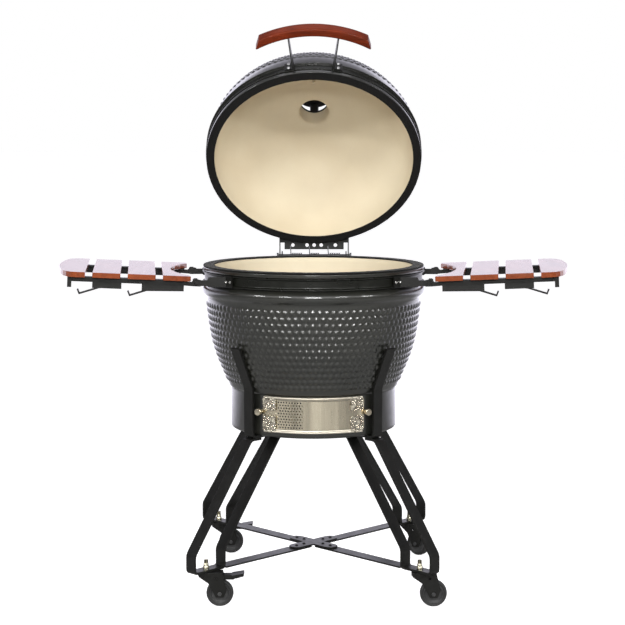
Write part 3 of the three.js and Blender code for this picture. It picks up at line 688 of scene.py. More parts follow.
class BumpField:
    """Rows of low round bumps on a turned surface, each row shifted half a pitch from the last."""

    def __init__(self, profile, first, last, count=None):
        self.radii = [point.x for point in profile]
        self.distance = [0.0]
        for a, b in zip(profile, profile[1:]):
            self.distance.append(self.distance[-1] + (b - a).length)
        span = abs(self.distance[last] - self.distance[first])
        start = min(self.distance[first], self.distance[last])
        rows = max(1, round(span / BUMP["row_pitch"]))
        self.rows = []
        for j in range(rows):
            centre = start + span * (j + 0.5) / rows
            nearest = min(range(len(profile)), key=lambda i: abs(self.distance[i] - centre))
            radius = self.radii[nearest]
            around = count or max(8, round(2 * math.pi * radius / BUMP["pitch"]))
            self.rows.append((centre, around, (j % 2) * math.pi / around))
        self.by_point = [
            [row for row in self.rows if abs(row[0] - s) < BUMP["radius"]] for s in self.distance
        ]

    def __call__(self, azimuth, i):
        lift = 0.0
        for centre, around, phase in self.by_point[i]:
            step = 2 * math.pi / around
            turn = (azimuth - phase + step / 2) % step - step / 2
            away = math.hypot(turn * self.radii[i], self.distance[i] - centre) / BUMP["radius"]
            if away < 1:
                lift = max(lift, (1 - away * away) ** 1.1)
        return lift * BUMP["height"]


def nearest_row(profile, target):
    return min(range(len(profile)), key=lambda i: (profile[i] - Vector(target)).length)


def bowl_shell():
    top = RIM_Z - GASKET_THICKNESS - GAP
    low_side = open_outline(
        [(0, BOWL_BOTTOM), (FOOT_RADIUS, BOWL_BOTTOM, 8), (FOOT_RADIUS, FOOT_TOP, 4),
         (211, FOOT_TOP + 3, 2), (223, 535), (234, 560), (243.5, 585), (252, 615), (258.5, 650),
         (263.5, 688), (266.5, 716)],
        12,
    )
    high_side = open_outline(
        [(266.5, 716), (267.5, 725, 6), (278, 735, 6), (278, 748, 5), (BAND_SEAT, 759, 3),
         (BAND_SEAT, 789.5, 1), (RIM_RADIUS - 0.5, 790, 1), (RIM_RADIUS, 791.5, 1),
         (RIM_RADIUS, top - 1, 1), (RIM_RADIUS - 1, top, 1), (BASE_MOUTH + 1, top, 1)],
        3,
    )
    inside = open_outline(
        [(BASE_MOUTH, top - 1), (244, 700), (228, 610), (204, 545), (183, 500), (180, 440),
         (172, BOWL_FLOOR, 8), (0, BOWL_FLOOR)],
        14,
    )
    profile = subdivided(low_side, 2.3, closed=False)
    relief_end = len(profile) - 2
    profile += subdivided(high_side, 4, closed=False)[1:]
    first_inside = len(profile)
    profile += subdivided(inside, 14, closed=False)
    relief_start = nearest_row(profile, (216, 514))
    columns = 576
    outer_rows = []
    for height in DRAFT_OPENING:
        row = nearest_row(profile[:relief_start], (FOOT_RADIUS, height))
        profile[row].y = height
        outer_rows.append(row)
    sill, top_edge = DRAFT_OPENING
    inner = profile[first_inside:]
    inner_rows = [first_inside + nearest_row(inner, point) for point in ((181, top_edge), (178, sill))]
    half = round(columns * DRAFT_OPENING_HALF / 360)
    bumps = BumpField(profile, relief_start, relief_end, count=100)
    shell = lathe(profile, columns, bumps, [(outer_rows, inner_rows, (-half, half))])
    rows = len(profile)
    slots = [int(min(index % rows for index in face) >= first_inside - 2) for face in shell[1]]
    finishes = [GLAZE, CREAM]
    make_piece("bowl_shell", [shell], ON_BOWL, finishes, "base_bowl", slots, sharp=50)


def lid_shell():
    bottom = LID_Z + GASKET_THICKNESS + GAP
    seat_edge = 66
    throat = CHIMNEY_RADIUS + THROAT_FLARE
    lift = Vector((0, LID_Z))
    outside = [p + lift for p in superellipse(RIM_RADIUS, *DOME_OUTER, 46, seat_edge, 60)]
    inside = [p + lift for p in superellipse(LID_MOUTH, *DOME_INNER, 4, throat, 40)][::-1]
    rim = open_outline(
        [(LID_MOUTH + 1, bottom), (RIM_RADIUS - 1, bottom, 1), (RIM_RADIUS, bottom + 1, 1),
         (RIM_RADIUS, LID_Z + 14, 1), (BAND_SEAT, LID_Z + 15.5, 1), (BAND_SEAT, LID_Z + 45, 1.5),
         tuple(outside[0])],
        1,
    )
    collar = open_outline(
        [tuple(outside[-1]), (seat_edge - 1, outside[-1].y + 4, 6), (seat_edge - 3, CHIMNEY_TOP, 3),
         (CHIMNEY_RADIUS, CHIMNEY_TOP, 2), (CHIMNEY_RADIUS, inside[0].y + 4, 16), tuple(inside[0])],
        2,
        steps=6,
    )
    profile = subdivided(rim, 4, closed=False)
    relief_start = len(profile) + 21
    profile += subdivided(outside, 2.4, closed=False)[1:]
    relief_end = len(profile) - 6
    profile += subdivided(collar, 4, closed=False)[1:]
    profile += subdivided(inside, 12, closed=False)[1:-1]
    throat_top = nearest_row(profile, (CHIMNEY_RADIUS, CHIMNEY_TOP - 2))
    shell = lathe(profile, 480, BumpField(profile, relief_start, relief_end))
    rows = len(profile)
    slots = []
    for face in shell[1]:
        index = [i % rows for i in face]
        slots.append(int(min(index) >= throat_top or (0 in index and rows - 1 in index)))
    make_piece("lid_shell", [shell], ON_LID, [GLAZE, CREAM], "lid_dome", slots, sharp=50)


def gasket(name, home, node, inner, low):
    """A felt ring whose skin is slightly wavy."""
    random.seed(7)
    high = low + GASKET_THICKNESS
    section = rounded([(inner, low), (RIM_RADIUS, low), (RIM_RADIUS, high), (inner, high)], 1.4, 3)
    waves = [(random.uniform(0.1, 0.3), random.randint(20, 90), random.uniform(0, 6)) for _ in range(6)]

    def fuzz(azimuth, row):
        ripple = sum(size * math.sin(count * azimuth + phase + row) for size, count, phase in waves)
        return 0.25 * ripple - 0.15

    ring = lathe(subdivided(section, 5), 360, fuzz)
    make_piece(name, [ring], home, [FELT], node, sharp=80)


def band(name, home, node, low):
    """A flat hoop whose edges are rolled outwards."""
    high = low + BAND_HIGH - BAND_LOW
    seat = BAND_SEAT + GAP
    skin = seat + 3.2
    outline = rounded(
        [(seat, low), (BAND_RADIUS - 0.6, low, 1.4), (BAND_RADIUS, low + 2.2, 1.6),
         (skin + 0.4, low + 5, 1.6), (skin, low + 7, 1.5), (skin, high - 7, 1.5),
         (skin + 0.4, high - 5, 1.6), (BAND_RADIUS, high - 2.2, 1.6),
         (BAND_RADIUS - 0.6, high, 1.4), (seat, high)],
        0.5,
        steps=3,
    )
    turned_piece(name, subdivided(outline, 6), home, BAND_STEEL, node, columns=240)


def fire_inserts():
    low = BOWL_FLOOR + GAP
    box = rounded(
        [(120, low), (160, low), (172, 445), (176, 500), (196, 545), (215, 600), (216, 611),
         (190, 611), (172, 550), (150, 505), (120, 505)],
        3,
    )
    ring = rounded([(200, 611.3), (221, 611.3), (235, 700), (238, 735), (218, 735)], 3)
    for name, outline, node in (("fire_box_clay", box, "fire_box"), ("fire_ring_clay", ring, "fire_ring")):
        turned_piece(name, subdivided(outline, 12), ON_BOWL, FIRECLAY, node)


def wire_grate():
    """Round rods welded under a round rim, with two cross wires."""
    low = node_mm("cooking_grate", Z, LOW)
    high = node_mm("cooking_grate", Z, HIGH)
    rim_wire, rod_wire, cross_wire = 4, 2.5, 2.0
    rim_radius = node_mm("cooking_grate", X, HIGH) - rim_wire
    middle = (low + high) / 2
    rim = [Vector(round_point(rim_radius, 2 * math.pi * k / 96, middle)) for k in range(97)]
    parts = [tube(rim, rim_wire, 12)]
    spacing = 18
    rod_count = int(rim_radius / spacing)
    for x in range(-rod_count * spacing, rod_count * spacing + 1, spacing):
        half = math.sqrt(rim_radius**2 - x**2)
        rod = straight((x, -half, high - rod_wire), (x, half, high - rod_wire))
        parts.append(tube(rod, rod_wire, 8))
    for y in (-110, 110):
        half = math.sqrt(rim_radius**2 - y**2)
        parts.append(tube(straight((-half, y, low + 1.8), (half, y, low + 1.8)), cross_wire, 8))
    make_piece("wire_grate", parts, ON_BOWL, [WIRE_STEEL], "cooking_grate", sharp=60)


# ---- Draft door ----


def arc_sweep(section, half, steps):
    """A closed section of (radius, height) points carried round the front, half to each side."""
    azimuths = [math.radians(half * (2 * k / steps - 1)) for k in range(steps + 1)]
    sides = [Vector(round_point(1, azimuth, 0)) for azimuth in azimuths]
    return swept(section, [Vector()] * len(sides), sides, [Vector((0, 0, 1))] * len(sides))


def curved_sheet(start, end, low, high, radius, columns, rows, thickness=SHEET, dent=None):
    """A bent sheet with thickness; dent(azimuth, height) pushes its face outwards."""
    verts, faces = [], []
    for skin, r in enumerate((radius, radius + thickness)):
        for c in range(columns + 1):
            for k in range(rows + 1):
                azimuth = start + (end - start) * c / columns
                height = low + (high - low) * k / rows
                lift = dent(azimuth, height) if dent and skin else 0
                verts.append(Vector(round_point(r + lift, math.radians(azimuth), height)))
    per_skin = (columns + 1) * (rows + 1)

    def at(skin, c, k):
        return skin * per_skin + c * (rows + 1) + k

    for c in range(columns):
        for k in range(rows):
            for s in (0, 1):
                faces.append((at(s, c, k), at(s, c + 1, k), at(s, c + 1, k + 1), at(s, c, k + 1)))
        for k in (0, rows):
            faces.append((at(0, c, k), at(0, c + 1, k), at(1, c + 1, k), at(1, c, k)))
    for k in range(rows):
        for c in (0, columns):
            faces.append((at(0, c, k), at(0, c, k + 1), at(1, c, k + 1), at(1, c, k)))
    return verts, faces


def perforated_sheet(start, end, low, high, radius, pitch, hole_radius):
    """A bent sheet with a grid of small round holes right through it, every other row shifted."""
    width = math.radians(end - start) * radius
    columns = max(1, round(width / pitch))
    rows = max(1, round((high - low) / pitch))
    corners = [(-1, -1), (0, -1), (1, -1), (1, 0), (1, 1), (0, 1), (-1, 1), (-1, 0)]
    verts, faces = [], []
    cell_w, cell_h = width / columns, (high - low) / rows

    def place(skin, across, height):
        azimuth = math.radians(start) + across / radius
        return Vector(round_point(radius + SHEET * skin, azimuth, height))

    for c in range(columns):
        for k in range(rows):
            x, z = (c + 0.5) * cell_w, low + (k + 0.5) * cell_h
            hole_x = x + cell_w * (0.19 if k % 2 else -0.19)
            base = len(verts)
            for skin in (0, 1):
                for dx, dz in corners:
                    verts.append(place(skin, x + dx * cell_w / 2, z + dz * cell_h / 2))
                for dx, dz in corners:
                    reach = hole_radius / math.hypot(dx, dz)
                    verts.append(place(skin, hole_x + dx * reach, z + dz * reach))
            for i in range(8):
                a, b = base + i, base + (i + 1) % 8
                for skin in (0, 16):
                    faces.append((a + skin, b + skin, b + skin + 8, a + skin + 8))
                faces.append((a + 8, b + 8, b + 24, a + 24))
            edges = {0: (k == 0), 2: (c == columns - 1), 4: (k == rows - 1), 6: (c == 0)}
            for first, on_border in edges.items():
                if on_border:
                    for i in (first, first + 1):
                        a, b = base + i, base + (i + 1) % 8
                        faces.append((a, b, b + 16, a + 16))
    return verts, faces


def draft_frame():
    """Two beaded rails, and behind the plates at the ends the sheet that joins them."""
    rail_height = 8.5
    bead = [
        (DRAFT_INNER, 0), (DRAFT_OUTER - 2.5, 0), (DRAFT_OUTER - 0.6, 0.8), (DRAFT_OUTER, 2.8),
        (DRAFT_OUTER - 0.8, 5.0), (DRAFT_OUTER - 2.6, 6.0), (DRAFT_OUTER - 3.2, rail_height),
        (DRAFT_INNER, rail_height),
    ]
    half = DRAFT_HALF - 2.6
    parts = []
    for edge, way in ((DRAFT_LOW, 1), (DRAFT_HIGH, -1)):
        rail = rounded([(r, edge + way * h) for r, h in bead], 0.8, 3)
        parts.append(arc_sweep(rail, half, 60))
    window, outer_edge = WINDOW_HALF - 1, DRAFT_HALF - 3.4
    low, high = DRAFT_LOW + 4, DRAFT_HIGH - 4
    for start, end in ((-outer_edge, -window), (window, outer_edge)):
        parts.append(curved_sheet(start, end, low, high, DRAFT_INNER + 0.2, 8, 2, thickness=1.0))
    make_piece(
        "draft_frame_rails", parts, ON_BOWL, [BRIGHT_STEEL], "draft_frame", sharp=40
    )


def end_plates():
    """A dented, round-cornered plate at each end, open in the middle where the knob's stud runs."""
    random.seed(11)
    ranges = ((0.10, 0.30), (0.5, 2.2), (0.05, 0.28), (0, 6))
    waves = [[random.uniform(*one) for one in ranges] for _ in range(9)]

    def dent(azimuth, height):
        return sum(a * math.sin(b * azimuth + c * height + d) for a, b, c, d in waves) * 0.55

    slot_low, slot_high = 450, 464
    corner = 1.6
    skin = {"radius": DRAFT_OUTER - 1.9, "thickness": 1.5, "dent": dent}
    parts = []
    for side in (-1, 1):
        outer = side * (DRAFT_HALF - 1.9)
        inner, bend = side * WINDOW_HALF, outer - side * corner
        for low, high in ((DRAFT_LOW + 0.2, slot_low), (slot_high, DRAFT_HIGH - 0.2)):
            parts.append(curved_sheet(inner, bend, low, high, columns=16, rows=20, **skin))
        for low, high in ((DRAFT_LOW + 5, slot_low), (slot_high, DRAFT_HIGH - 5)):
            parts.append(curved_sheet(bend, outer, low, high, columns=3, rows=16, **skin))
    make_piece("draft_end_plates", parts, ON_BOWL, [DENTED_STEEL], sharp=60)


def knob(azimuth, from_radius):
    """A stepped knob on a stud that leaves the panel square to it."""
    height = (DRAFT_LOW + DRAFT_HIGH) / 2 + 4
    clear = DRAFT_OUTER + 1.4
    outline = open_outline(
        [(0, from_radius), (3, from_radius, 0.2), (3, clear, 0.3), (7.8, clear + 0.2, 0.4),
         (7.8, clear + 3, 0.4), (6.0, clear + 3.3, 0.2), (6.0, clear + 4.3, 0.2),
         (8.2, clear + 4.6, 0.3), (8.2, clear + 8, 0.5), (0, clear + 8.2)],
        0.4,
        steps=3,
    )
    turn = Matrix.Translation((0, 0, height)) @ Matrix.Rotation(math.radians(azimuth), 4, "Z")
    return moved(lathe(outline, 28), turn @ Matrix.Rotation(math.pi / 2, 4, "X"))


def draft_panels():
    """The perforated panel and, in front of it, the plain one; a narrow ear carries each knob."""
    low, high = DRAFT_LOW + 9.1, DRAFT_HIGH - 9.1
    edge, ear, knob_at = 35.3, 38.2, 36.9
    ear_low, ear_high = 452, 463
    holes_edge, margin = 34, 1.2
    radius = DRAFT_INNER + 2.0
    parts = [
        perforated_sheet(-holes_edge, 0, low + margin, high - margin, radius, 7.0, 2.0),
        curved_sheet(-holes_edge, 0, low, low + margin, radius, 24, 1),
        curved_sheet(-holes_edge, 0, high - margin, high, radius, 24, 1),
        curved_sheet(-edge, -holes_edge, low, high, radius, 2, 4),
        curved_sheet(0, 7, low, high, radius, 6, 4),
        curved_sheet(-ear, -edge, ear_low, ear_high, radius, 3, 2),
        knob(-knob_at, radius + SHEET / 2),
    ]
    home = (BOWL, "draft_screen")
    make_piece("perforated_screen", parts, home, [STAINLESS], "draft_screen", sharp=40)
    radius = DRAFT_INNER + 4.6
    parts = [
        curved_sheet(-6.8, edge, low, high, radius, 40, 6),
        curved_sheet(edge, ear, ear_low, ear_high, radius, 3, 2),
        knob(knob_at, radius + SHEET / 2),
    ]
    home = (BOWL, "draft_door")
    make_piece("sliding_door", parts, home, [STAINLESS], "draft_door", sharp=40)


# ---- CAD pieces that stay: their edges are broken and they get a finish ----


def finish_node(node, material, bevel=0.0006, segments=2, angle=28):
    piece = frame["nodes"][node]
    for slot in piece.material_slots:
        slot.link = "OBJECT"
        slot.material = material
    weld = piece.modifiers.new("joined_points", "WELD")
    weld.merge_threshold = 0.00002
    edge = piece.modifiers.new("broken_edges", "BEVEL")
    edge.width = bevel
    edge.segments = segments
    edge.limit_method = "ANGLE"
    edge.angle_limit = math.radians(angle)
    edge.use_clamp_overlap = True
    shade = piece.modifiers.new("even_shading", "WEIGHTED_NORMAL")
    shade.keep_sharp = True


def finish_cad_nodes():
    edges = {"cradle": 0.0009, "brace_hub": 0.0007, "hinge_base_bracket": 0.0005, "lid_hinge_plate": 0.0005}
    for corner in CORNERS:
        edges |= {f"leg_{corner}": 0.0009, f"brace_{corner}": 0.0007, f"caster_fork_{corner}": 0.0005}
    for corner in BRAKED:
        edges[f"brake_pedal_{corner}"] = 0.0008
    for side in SIDES:
        edges[f"handle_post_{side}"] = 0.0005
        for end in ENDS:
            edges |= {f"table_rail_{side}_{end}": 0.0005, f"table_bracket_{side}_{end}": 0.0006}
        for i in range(1, 5):
            finish_node(f"slat_{side}_{i}", WOOD_ACROSS, 0.0022, 3)
    for node, edge in edges.items():
        finish_node(node, BLACK_STEEL, edge)
    finish_node("hinge_rod", SPRING_STEEL, 0.0005)
    finish_node("charcoal_grate", CAST_IRON, 0.0012)
    finish_node("thermometer_pointer", NEEDLE_RED, 0.0002)


# ---- Casters ----


def caster_wheels():
    """A soft tyre round a dished plastic hub with a bored boss."""
    half, radius = WHEEL["half"], WHEEL["radius"]
    tyre = rounded(
        [(24.5, -half + 1.5), (28, -half, 1.2), (31, -half + 0.6, 2.5), (radius, -5, 4),
         (radius, 5, 4), (31, half - 0.6, 2.5), (28, half, 1.2), (24.5, half - 1.5)],
        0.8,
    )
    hub = rounded(
        [(4.6, -half), (9, -half, 0.8), (9.6, -6.5, 0.8), (12, -6, 1), (20.5, -6.5, 1), (22, -9, 1),
         (24.4, -9, 0.8), (24.4, 9, 0.8), (22, 9, 1), (20.5, 6.5, 1), (12, 6, 1), (9.6, 6.5, 0.8),
         (9, half, 0.8), (4.6, half)],
        0.4,
        steps=3,
    )
    onto_axle = Matrix.Translation((WHEEL["trail"], 0, radius)) @ Matrix.Rotation(math.pi / 2, 4, "X")
    parts = [moved(lathe(outline, 72), onto_axle) for outline in (tyre, hub)]
    slots = [0] * len(parts[0][1]) + [1] * len(parts[1][1])
    for corner in CORNERS:
        home = (on_caster(corner)[0], f"wheel_{corner}")
        node = f"caster_wheel_{corner}"
        make_piece(f"wheel_{corner}_tyre", parts, home, [TYRE, HUB], node, slots)


def stem_nuts():
    """A nut on the foot bar, a lock nut over it and the bright end of the stem."""
    nut_height, lock_height = 7, 6
    nut_low = NUT_LOW + GAP
    lock_low = nut_low + nut_height + GAP
    stud_low = lock_low + lock_height - 0.2
    parts = [
        fastener(hex_bolt(13, nut_height), 0, 0, nut_low),
        fastener(hex_bolt(10.5, lock_height), 0, 0, lock_low),
        lathe(thread_outline(5.2, stud_low, STUD_TOP + 0.6, 1.25), 20),
    ]
    for corner in CORNERS:
        make_piece(f"stem_nuts_{corner}", parts, on_caster(corner), [BRASS], sharp=40)


def axle_bolts():
    bolt = hex_bolt(9, 3.2)
    parts = [
        fastener(bolt, WHEEL["trail"], way * FORK_HALF, WHEEL["radius"], (0, way, 0)) for way in (-1, 1)
    ]
    for corner in CORNERS:
        make_piece(f"axle_bolt_{corner}", parts, on_caster(corner), [HUB], sharp=40)


# ---- Screws on the stand and the bands ----


def bracket_screws():
    """Two button heads on the foot of each table bracket, square to the band."""
    screw = dome_screw(3.2, 2.6)
    middle = (BAND_LOW + BAND_HIGH) / 2
    for side in SIDES:
        for end in ENDS:
            parts = []
            for azimuth in BRACKET_SCREWS:
                turn = azimuth if end == "front" else 180 - azimuth
                turn = math.radians(turn if side == "right" else -turn)
                x, y, _ = round_point(BAND_RADIUS + 4.1, turn, 0)
                parts.append(fastener(screw, x, y, middle, round_point(1, turn, 0)))
            name = f"bracket_screws_{side}_{end}"
            make_piece(name, parts, ON_BOWL, [SCREW_STEEL], sharp=40)


def pivot_bolts():
    """A hexagon head on the end of each pin a table turns on."""
    bolt = hex_bolt(9.5, 3.6)
    for side in SIDES:
        joint = f"table_{side}_fold"
        pivot, axis = joint_place(joint) / MM, joint_axis(joint)
        parts = [
            fastener(bolt, *(pivot + axis * way * PIVOT_PIN_END), axis * way) for way in (-1, 1)
        ]
        make_piece(f"pivot_bolts_{side}", parts, ON_STAND, [BLACK_STEEL], sharp=40)


def hub_bolts():
    """Two domed heads over each lobe of the hub, each with a nut below the brace."""
    top = node_mm("brace_hub", Z, HIGH)
    bottom = node_mm("brace_front_left", Z, LOW)
    parts = []
    for azimuth in (45, 135, 225, 315):
        for reach in HUB_BOLT_REACHES:
            x, y, _ = round_point(reach, math.radians(azimuth), 0)
            parts.append(fastener(dome_screw(4.4, 2.4), x, y, top))
            parts.append(fastener(hex_bolt(8, 4.5), x, y, bottom, (0, 0, -1)))
    make_piece("hub_bolts", parts, ON_BOWL, [BLACK_STEEL], sharp=40)


# ---- Lid fittings ----


def handle_grip():
    """A rounded bar bowed away from the lid, its ends raked so that the inner edge is longer."""
    depth, height = GRIP["outer"] - GRIP["inner"], GRIP["top"] - GRIP["bottom"]
    centre_radius = GRIP["bow"] - depth / 2
    a, b = depth / 2, height / 2
    section = rounded([(-a, -b), (a, -b), (a, b), (-a, b)], 4.5, 5)
    end = math.asin(GRIP["half"] / centre_radius)
    near_end, nearer = 0.011, 0.004
    stations = [-end, -end + nearer, -end + near_end]
    stations += [-end + near_end + 2 * (end - near_end) * k / 40 for k in range(1, 40)]
    stations += [end - near_end, end - nearer, end]
    scales = [0.86, 0.96] + [1.0] * 41 + [0.96, 0.86]
    middle = Vector((0, GRIP["bow"] - GRIP["outer"], (GRIP["bottom"] + GRIP["top"]) / 2))
    centres, sides, ups = [], [], []
    for azimuth, scale in zip(stations, scales):
        outwards = Vector(round_point(1, azimuth, 0))
        along_bow = Vector(round_point(1, azimuth + math.pi / 2, 0))
        rake = GRIP["rake"] * max(0, abs(azimuth) / end - 0.7) / 0.3 * math.copysign(1, azimuth)
        centres.append(middle + outwards * centre_radius)
        sides.append(outwards * scale - along_bow * rake)
        ups.append(Vector((0, 0, scale)))
    grip = swept(section, centres, sides, ups)
    make_piece("wood_grip", [grip], ON_LID, [WOOD_GRIP], "handle_grip", sharp=50)


def handle_screws():
    """Two bolts in the foot of each handle post."""
    bolt = hex_bolt(7.5, 3.4)
    middle = LID_Z + POST_FOOT["height"]
    parts = []
    for side in (-1, 1):
        azimuth = math.radians(side * POST_FOOT["azimuth"])
        x, y, _ = round_point(BAND_RADIUS + POST_FOOT["thickness"], azimuth, 0)
        for drop in (-POST_FOOT["spacing"], POST_FOOT["spacing"]):
            parts.append(fastener(bolt, x, y, middle + drop, round_point(1, azimuth, 0)))
    make_piece("handle_screws", parts, ON_LID, [ZINC], sharp=40)


def hinge_springs():
    """Three torsion springs on the rod, their legs on the lid's plate."""
    lean, turns = math.radians(SPRING["lean"]), SPRING["turns"]

    def from_rod(x, reach, angle):
        return Vector((x, HINGE_Y + reach * math.cos(angle), HINGE_Z + reach * math.sin(angle)))

    parts = []
    for start, end in SPRING_SPANS:
        path = [from_rod(start - 1, 26, lean + 0.22), from_rod(start - 0.8, 18, lean + 0.32)]
        steps = turns * 20
        for k in range(steps + 1):
            angle = lean + 0.7 + 2 * math.pi * turns * k / steps
            path.append(from_rod(start + (end - start) * k / steps, SPRING["radius"], angle))
        parts.append(tube(path, SPRING["wire"], 8))
    make_piece(
        "torsion_springs", parts, ON_LID, [SPRING_STEEL], "hinge_spring", sharp=70
    )


def vent_part(name, outline, home, node, outer_radius, inner_radius, low, high):
    """A cast iron ring or cap, its wall cut by four windows between two heights."""
    profile = [Vector(point) for point in outline]
    outer = [nearest_row(profile, (outer_radius, height)) for height in (low, high)]
    inner = [nearest_row(profile, (inner_radius, height)) for height in (high, low)]
    half = round(VENT_COLUMNS * VENT_WINDOW_HALF / 360)
    windows = []
    for azimuth in (45, 135, 225, 315):
        middle = azimuth * VENT_COLUMNS // 360
        windows.append((outer, inner, (middle - half, middle + half)))
    part = lathe(profile, VENT_COLUMNS, windows=windows)
    make_piece(name, [part], home, [CAST_IRON], node)


def vent_pieces():
    """The collar on the chimney, and the cap that turns on it to open or close the windows."""
    seat = CHIMNEY_TOP + GAP
    bore, skin = 46, 51
    base = [
        (CHIMNEY_RADIUS, seat), (62, seat), (62, seat + 4), (60.5, seat + 5.4), (skin, seat + 8),
        (skin, seat + 9.5), (skin, seat + 46), (skin, seat + 52), (0, seat + 52), (0, seat + 48),
        (bore, seat + 48), (bore, seat + 46), (bore, seat + 9.5), (CHIMNEY_RADIUS, seat + 5),
    ]
    vent_part("vent_collar", base, ON_LID, "vent_base", skin, bore, seat + 9.5, seat + 46)
    bore, skin = 52.4, 55.8
    cap = [
        (bore, seat + 8.6), (skin - 0.8, seat + 8.6), (skin, seat + 9.4), (skin, seat + 11.5),
        (skin, seat + 45), (skin, seat + 49), (57, seat + 50.6), (59.6, seat + 52),
        (60, seat + 53), (60, seat + 56), (57.5, seat + 59.5), (52, seat + 63), (42, seat + 66.4),
        (30, seat + 69), (15, seat + 70.6), (0, seat + 71), (0, seat + 54), (bore, seat + 54),
        (bore, seat + 45), (bore, seat + 11.5),
    ]
    home = (LID, "vent_cap")
    vent_part("vent_daisy_cap", cap, home, "vent_cap", skin, bore, seat + 11.5, seat + 45)


def thermometer():
    home = on_thermometer()
    radius, front, face = (THERMOMETER[key] for key in ("radius", "height", "dial"))
    seat = 0.4
    case = open_outline(
        [(0, seat + 0.6), (radius - 4, seat + 0.6, 2), (radius - 2.5, seat + 3, 2),
         (radius - 0.6, front - 8, 2), (radius, front - 6, 1.2), (radius, front - 1.4, 1.2),
         (radius - 1.4, front, 0.8), (radius - 4, front - 0.6, 0.8), (radius - 4.4, face, 0.3),
         (0, face)],
        1,
    )
    tip = seat - THERMOMETER["stem"]
    stem = open_outline([(0, tip), (3.4, tip, 1.6), (3.4, seat + 0.8), (0, seat + 0.8)], 0.2)
    parts = [lathe(case, 96), lathe(stem, 20)]
    make_piece(
        "thermometer_body", parts, home, [BRIGHT_STEEL], "thermometer_case", sharp=40
    )
    edge, low, high = radius - 4.7, face + 0.1, face + 0.5
    disc = lathe([Vector(p) for p in ((0, low), (edge, low), (edge, high), (0, high))], 72)
    make_piece("thermometer_dial", [disc], home, [DIAL])
    ticks = []
    for k in range(28):
        length, width = (2.4, 0.5) if k % 3 else (4.2, 0.9)
        turn = Matrix.Rotation(-math.radians(135 + 10 * k), 4, "Z")
        slide = Matrix.Translation((0, length / 2 + 6.2 - radius, face + 0.7))
        ticks.append(moved(box_part(width, length, 0.3), turn @ slide))
    make_piece("thermometer_ticks", ticks, home, [DIAL_INK])
    edge = radius - 4.6
    lens = [(0, front - 2.2), (edge, front - 2.4), (edge, front - 1.2), (0, front - 0.8)]
    make_piece("thermometer_lens", [lathe(open_outline(lens, 0.1), 72)], home, [GLASS])


def box_part(width, depth, height):
    """A slab about its own middle, its edges broken."""
    x, y, z = width / 2, depth / 2, height / 2
    work = bmesh.new()
    bmesh.ops.create_cube(work, size=1, matrix=Matrix.Diagonal((width, depth, height, 1)))
    bmesh.ops.bevel(work, geom=work.edges[:], offset=min(x, y, z) * 0.3, segments=1, affect="EDGES")
    verts = [v.co.copy() for v in work.verts]
    faces = [tuple(v.index for v in face.verts) for face in work.faces]
    work.free()
    return verts, faces


# ---- Stage, light, camera, in metres ----
WHITE = (1.0, 1.0, 1.0)
FLOOR_REACH = 60.0
FLOOR_GLOW = 0.74
FLOOR_BOUNCE = (0.43, 0.43, 0.42)
# Light that the floor gives the grill from behind it, growing between these two distances.
FLOOR_BACK_GLOW = 1.5
FLOOR_BACK_GLOW_FROM, FLOOR_BACK_GLOW_TO = 1.1, 2.8
# Brightness of the room by direction, from straight ahead of the grill (0) to behind it (1).
ROOM_LEVELS = (
    (0, 0.55), (0.06, 0.5), (0.15, 0.32), (0.5, 0.22), (0.74, 0.32), (0.87, 0.9), (0.93, 2.0),
    (0.985, 1.25),
)
# The front of the room, up to this position, is warmer than the back.
WARM_UNTIL = 0.6
ROOM_WARM = (1.0, 0.98, 0.94)
ROOM_COOL = (0.92, 0.90, 1.03)
# How bright the room is high up, against its brightness near the floor, and where it changes.
CEILING_LEVEL = 0.7
CEILING_FROM, CEILING_TO = 0.28, 0.62
# Name, place, size, watts.
STRIPS = [("front_strip", (0, -3.9, 2.7), (0.9, 0.18), 42), ("low_strip", (0, -4.8, 1.7), (1.4, 0.2), 52)]
for way in (-1, 1):
    STRIPS.append((f"side_strip_{way}", (way * 1.9, -3.5, 2.5), (0.9, 0.2), 38))
    STRIPS.append((f"far_strip_{way}", (way * 3.4, -2.3, 2.3), (0.9, 0.2), 40))
STRIP_TARGET = (0, 0, 0.9)
# The eye, from the bowl's axis: how far ahead and up, and its turn and tilt in radians.
EYE = {"distance": 4.2779, "height": 1.15905, "shift": -0.0024, "turn": 0.006, "down": 0.1115}
LENS_SHARE = 2.74744  # focal length over the picture's width
SENSOR_WIDTH = 36  # millimetres


